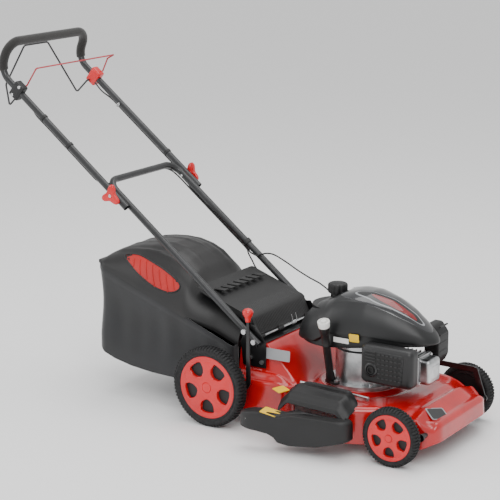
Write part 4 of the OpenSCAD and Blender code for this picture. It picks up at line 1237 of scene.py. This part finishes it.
def make_bail_blocks():
    """Moulded blocks that carry both bails on the upper handle, each with a bolt through it."""
    for hand, side, finish in (("right", -1, BLACK_PLASTIC), ("left", 1, RED_PLASTIC)):
        shape = block(Shape(), (-20, -14, -27), (20, 14, 27), edge=5)
        block(shape, (-14, -15.2, -20), (14, 15.2, 20), edge=3)
        placed(shape, hp(1142, side * UPPER_Y), -UP_LEG, (0, 1, 0))
        for s, n in ((1146, -19), (1138, 20)):
            lathe(shape, hp(s, side * (UPPER_Y + 14.5), n), (0, side, 0),
                  [(-2, 5.5), (1.6, 5.5), (2.6, 4.4), (2.6, 0.0)], sides=24, finish=1, start=OFF_LEG)
        replaced = ["bail_mounts"] if side < 0 else []
        build(f"bail_block_{hand}", shape, [finish, ZINC], "upper_handle", replaced,
            sharp=40)


make_bail_blocks()


# ---------- cables ----------
CABLE_R = 2.5
UNDER = -TUBE_R - CABLE_R - 0.6


def cable(name, route, bend, node, count=150):
    """A smooth jacket along its route, closed by flat ends."""
    shape = tube(Shape(), curve(route, count), CABLE_R, 12)
    a, b, start, end = bend
    return build(name, shape, [CABLE_BLACK], (a, b, metres(start), metres(end)),
        [node], sharp=60)


def make_cables():
    """Two control cables, each in an upper and a lower length, clipped along the legs and let go to the
    engine and gearbox."""
    upper = [hp(s, UPPER_Y, UNDER) for s in (1040, 980, 900, 820, 740)]
    cable("stop_cable_upper",
        [hp(1120, UPPER_Y - 17, -8), hp(1080, UPPER_Y - 15, -12), *upper, hp(690, UPPER_Y - 2, UNDER),
          hp(650, UPPER_Y - 10, UNDER), hp(610, LOWER_Y + 2, UNDER), hp(560, LOWER_Y, UNDER),
          hp(500, LOWER_Y, UNDER)],
          ("lower_handle", "upper_handle", hp(600, LOWER_Y), hp(720, LOWER_Y)), "opc_cable_upper")
    far = [hp(s, LOWER_Y, UNDER) for s in (500, 440, 380, 322)]
    drop = np.array([[-58, 165, 455], [-26, 166, 454], [22, 164, 436], [66, 162, 416], [110, 162, 398],
        [150, 162, 384],
                     [190, 157, 364], [226, 148, 340], [254, 138, 312], [278, 131, 286], [298, 121, 268],
                     [316, 108, 264],
                     [330, 97, 263]])
    cable("stop_cable_lower",
        [*far, hp(304, LOWER_Y - 8, -13), hp(288, LOWER_Y - 14, -6), hp(272, LOWER_Y - 16, 4), *drop],
          ("deck", "lower_handle", drop[6], hp(290, LOWER_Y)), "opc_cable_lower")
    near = [hp(s, -UPPER_Y, UNDER) for s in (1040, 980, 900, 820, 760)]
    cable("drive_cable_upper_jacket", [hp(1120, -UPPER_Y + 17, -8), hp(1080, -UPPER_Y + 15, -12), *near,
          hp(735, -198, UNDER), hp(720, -186, UNDER), hp(712, -166, UNDER),
          *(hp(CROSSBAR_S, y, UNDER) for y in (-130, -70, 0))],
          ("lower_handle", "upper_handle", hp(CROSSBAR_S + 8, -180), hp(820, -UPPER_Y)), "drive_cable_upper")
    bar = [hp(CROSSBAR_S, y, UNDER) for y in (0, 70, 126)]
    leg = [hp(s, 171, UNDER) for s in (660, 600, 500, 400, 322)]
    drop = np.array([[-112, 165, 424], [-90, 163, 396], [-44, 162, 374], [0, 162, 350], [40, 161, 320],
        [66, 161, 288],
                     [78, 161, 250], [80, 161, 200], [80, 161, 153]])
    cable("drive_cable_lower_jacket",
        [*bar, hp(706, 150, UNDER), hp(692, 165, UNDER), *leg, hp(304, 168, -20), *drop],
          ("deck", "lower_handle", drop[4], hp(300, 165)), "drive_cable_lower")


make_cables()


# ---------- rear flap, side door and chute ----------
def make_rear_flap():
    """A bent plate with side skirts and knuckles, its face ribbed in front and gripped by short bars behind.
    """
    profile = rounded([(110, 284), (118, 284), (93, 337), (85, 343), (-108, 409), (-112, 405), (-111, 401),
        (82, 336)],
                      [1, 1, 5, 6, 1.2, 1.2, 1.2, 4], 5)
    profile = even(np.vstack([profile, profile[:1]]), 150, closed=True)
    across = np.linspace(-154, 154, 155)
    rings = []
    for y in across:
        ribs = 1.0 * smoothstep(math.cos(2 * math.pi * y / 8), -0.2, 0.4)
        strip = smoothstep(profile[:, 0], 34, 40) * (1 - smoothstep(profile[:, 0], 76, 82)) * (abs(y) < 132)
        face = smoothstep(profile[:, 0], 92, 97) * (1 - smoothstep(profile[:, 0], 112, 116)) * (abs(y) < 140)
        upper = smoothstep(profile[:, 1] - np.interp(profile[:, 0], [-112, 82, 110], [402.5, 337.5, 286]), 0,
            2)
        lift = ribs * (strip + 1.2 * face) * upper
        rings.append(np.column_stack([profile[:, 0] + 0.5 * lift, np.full(len(profile), y),
            profile[:, 1] + lift]))
    shape = Shape().grid(np.array(rings), wrap_v=True)
    shape.fan(rings[0], rings[0].mean(0))
    shape.fan(rings[-1], rings[-1].mean(0))
    skirt = rounded([(106, 290), (93, 337), (85, 343), (-108, 409), (-104, 398), (60, 330)],
        [2, 3, 4, 2, 3, 6], 5)
    for y in (-158, 154):
        mark = len(shape.points)
        slab(shape, skirt, 4)
        placed(shape, (0, y, 0), (1, 0, 0), (0, 0, 1), mark)
    hinge = joint_at("rear_flap_open")
    for y in (-150, -40, 120):
        lathe(shape, (hinge[0], y, hinge[2]), (0, 1, 0),
            [(0, 4.2), (0, 7.2), (0.8, 8), (29.2, 8), (30, 7.2), (30, 4.2)], sides=28)
        block(shape, (hinge[0] - 6, y + 0.5, hinge[2] + 3), (hinge[0] + 4, y + 29.5, hinge[2] + 13), edge=1.5)
    for k in range(7):
        y = -120 + 36 * k
        block(shape, (-70, y, 396), (-30, y + 24, 396.5 + 3.4), edge=1.2)
    build("rear_flap_moulding", shape, [FLAP_PLASTIC], "rear_flap", ["rear_flap"], sharp=35)


make_rear_flap()


def make_flap_spring():
    """A torsion spring wound seven times round the hinge rod, with two legs up behind the flap."""
    hinge = joint_at("rear_flap_open")
    turn = np.linspace(0, 7 * 2 * np.pi, 7 * 20)
    coil = np.stack([hinge[0] + 5.8 * np.cos(turn), 43 + 24 * turn / turn[-1],
        hinge[2] + 5.8 * np.sin(turn)], -1)
    legs = [(115.5, 306), (118.5, 294), (120.6, 283)]
    path = np.vstack([[(x, 43, z) for x, z in legs], coil, [(x, 67, z) for x, z in legs[::-1]]])
    build("flap_spring_wire", tube(Shape(), path, 1.1, 8), [ZINC],
          ("deck", "rear_flap", metres([hinge[0], 44, hinge[2]]), metres([hinge[0], 66, hinge[2]])),
          ["flap_spring"], sharp=60)


make_flap_spring()


def make_side_door():
    """An arched hood hung on the side rod: thick rolled ends, two long ribs, a turned-down lip and a rivet.
    """
    hinge = joint_at("side_door_open")
    along = unit(np.array(joints["side_door_open"]["axis"]) * (1, 1, 0))
    outward = np.array([along[1], -along[0], 0])
    if outward[1] > 0:
        outward = -outward
    knots = np.array([[-6, 160], [0, 167], [10, 173], [30, 178], [60, 177], [86, 169], [104, 158],
        [116, 146], [121, 132]])
    d = np.interp(np.linspace(0, 1, 64), np.linspace(0, 1, len(knots)), knots[:, 0])
    v = np.r_[-1, -0.985, -0.96, np.linspace(-0.92, 0.92, 60), 0.96, 0.985, 1]
    D, V = np.meshgrid(d, v, indexing="ij")
    half = 66 + 58 * smoothstep(D, 4, 60)
    z = np.interp(D, *knots.T) + 4 * np.exp(-((D - 98) / 8) ** 2)
    for at in (34, 66):
        z = z + 3.0 * np.exp(-((D - at) / 3.5) ** 4) * (np.abs(V) < 0.82)
    z = z - 30 * smoothstep(np.abs(V), 0.68, 1.02) * smoothstep(D, 12, 80) - 4 * smoothstep(np.abs(V), 0.94,
        1.0)
    points = hinge * (1, 1, 0) + (V * half)[..., None] * along + D[..., None] * outward
    points[..., 2] = z
    shape = Shape().grid(points)
    build("side_door_hood", shape, [BLACK_PLASTIC], "side_door", ["side_door"], wall=3.5,
        sharp=45)
    rivet = hinge * (1, 1, 0) + 34 * along + 54 * outward
    shape = lathe(Shape(), (rivet[0], rivet[1], 174), (0, 0, 1),
        [(-4, 0.0), (-4, 6), (1, 6), (2.6, 4.6), (3.2, 0.0)], sides=24)
    build("side_door_rivet", shape, [ZINC], "side_door", sharp=40)


make_side_door()


def make_side_chute():
    """A scoop with a rounded shoulder: its floor rises to the front and its rear end swells to a bolted lobe.
    """
    outline = curve([(520, -272), (524, -294), (512, -316), (480, -327), (400, -338), (310, -351),
        (250, -362), (205, -364),
                     (180, -352), (178, -334), (196, -320), (250, -306), (312, -276), (340, -266),
                     (430, -265), (490, -266)],
                    150, closed=True)
    middle = np.array([390.0, -302.0])
    top = np.interp(outline[:, 0], [178, 245, 300, 340, 524], [118, 122, 112, 124, 126])
    foot_line = ([178, 240, 290, 308, 345, 430, 524], [66, 64, 58, 36, 31, 40, 66])
    foot = np.interp(outline[:, 0], *foot_line)
    rings = []
    for share in (0.1, 0.4, 0.7, 0.84, 0.9):
        flat = middle + (outline - middle) * share
        rings.append(np.column_stack([flat,
            np.interp(flat[:, 0], [178, 245, 300, 340, 524], [118, 122, 113, 124, 126])]))
    for a in np.linspace(0.2, np.pi / 2, 7):
        flat = middle + (outline - middle) * (0.9 + 0.1 * math.sin(a))
        rings.append(np.column_stack([flat, top - 14 * (1 - math.cos(a))]))
    for t in np.linspace(0, 1, 9)[1:]:
        rings.append(np.column_stack([outline, (top - 14) * (1 - t) + (foot + 3) * t]))
    for share in (0.97, 0.8, 0.5, 0.1):
        flat = middle + (outline - middle) * share
        rings.append(np.column_stack([flat, np.interp(flat[:, 0], *foot_line)]))

    def kept(p):
        """Leaves the side towards the deck open."""
        return ~((p[:, 0] > 322) & (p[:, 0] < 496) & (p[:, 1] > -285) & (p[:, 2] > 52) & (p[:, 2] < 132))

    shape = Shape().grid(np.array(rings), wrap_v=True, keep=kept)
    build("side_chute_scoop", shape, [BLACK_PLASTIC], "side_chute", ["side_chute"],
        wall=2.8, sharp=45)
    shape = lathe(Shape(), (214, -361, 96), (0, -1, 0), [(-3, 0.0), (-3, 11), (1.5, 11), (3, 9), (3.4, 0.0)],
        sides=32)
    build("side_chute_bolt", shape, [WHITE_FILM], "side_chute", sharp=40)


make_side_chute()


# ---------- blank labels ----------
def label(name, centre, across, up, width, height, film, border=None, body="deck"):
    """A thin blank film with rounded corners, lying square to across and up."""
    outline = rounded([(-width / 2, -height / 2), (width / 2, -height / 2), (width / 2, height / 2),
        (-width / 2, height / 2)],
                      min(width, height) * 0.12, 5)
    shape = slab(Shape(), outline, 1.2, lift=0.6)
    if border:
        slab(shape, outline * 0.86, 1.0, lift=0.9, finish=1)
    placed(shape, centre, across, up)
    build(name, shape, [film, border or film], body, sharp=40)


label("hood_side_label", (190, -HOOD_HALF - 4, 238), (1, 0, 0.02), (0, 0.1, 1), 92, 34, SILVER_FILM)
badge_top = float(deck_height(np.array(706.0), np.array(-96.0)))
label("front_badge", (706, -96, badge_top + 1.5), (0.35, 1, -0.2), (-1, 0.2, 0.66), 74, 46, SILVER_FILM,
    border=BLACK_FILM)
label("chute_label", (272, -328, 118.4), (1, 0.1, -0.16), (-0.1, 1, 0.05), 56, 46, YELLOW_FILM,
      body="side_chute")
label("housing_label", (431, -113.5, 318), (1, 0.1, 0), (0, -0.2, 1), 32, 26, YELLOW_FILM)
label("housing_strip", (386, -112.5, 304), (1, 0.03, 0), (0, -0.05, 1), 52, 16, WHITE_FILM)
label("rear_shoulder_label", (238, -216, 151.2), (0.85, -0.53, 0), (0.53, 0.85, 0.1), 48, 38, YELLOW_FILM)


# ---------- floor and light ----------
def make_stage():
    """A wide pale floor that runs out of sight, and three large soft lamps."""
    span = np.linspace(-60000, 60000, 41)
    X, Y = np.meshgrid(span, span, indexing="ij")
    mesh = bpy.data.meshes.new("floor")
    shape = Shape().grid(np.dstack([X, Y, np.full_like(X, -0.5)]))
    mesh.from_pydata((np.vstack(shape.points) * MM).tolist(), [], shape.faces)
    paper = surface("white_paper_sweep", "f4f4f4", 0.9)[0]
    mesh.materials.append(paper)
    floor = bpy.data.objects.new("floor", mesh)
    bpy.context.scene.collection.objects.link(floor)
    floor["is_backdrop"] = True
    world = bpy.data.worlds.new("studio")
    world.use_nodes = True
    world.node_tree.nodes["Background"].inputs["Color"].default_value = linear("fbfbfb")
    world.node_tree.nodes["Background"].inputs["Strength"].default_value = 1.0
    bpy.context.scene.world = world
    for name, place, aim, size, power in [
        ("key", (2.2, -3.2, 3.4), (0.1, 0, 0.3), 2.4, 95),
        ("fill", (-3.0, -2.6, 2.2), (0, 0, 0.5), 2.5, 45),
        ("top", (0.3, 0.6, 4.2), (0.2, 0, 0), 3.0, 90),
    ]:
        lamp = bpy.data.lights.new(name, "AREA")
        lamp.shape = "SQUARE"
        lamp.size = size
        lamp.energy = power
        holder = bpy.data.objects.new(name, lamp)
        holder.location = place
        holder.rotation_euler = (Vector(aim) - Vector(place)).to_track_quat("-Z", "Y").to_euler()
        bpy.context.scene.collection.objects.link(holder)


make_stage()

low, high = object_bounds()
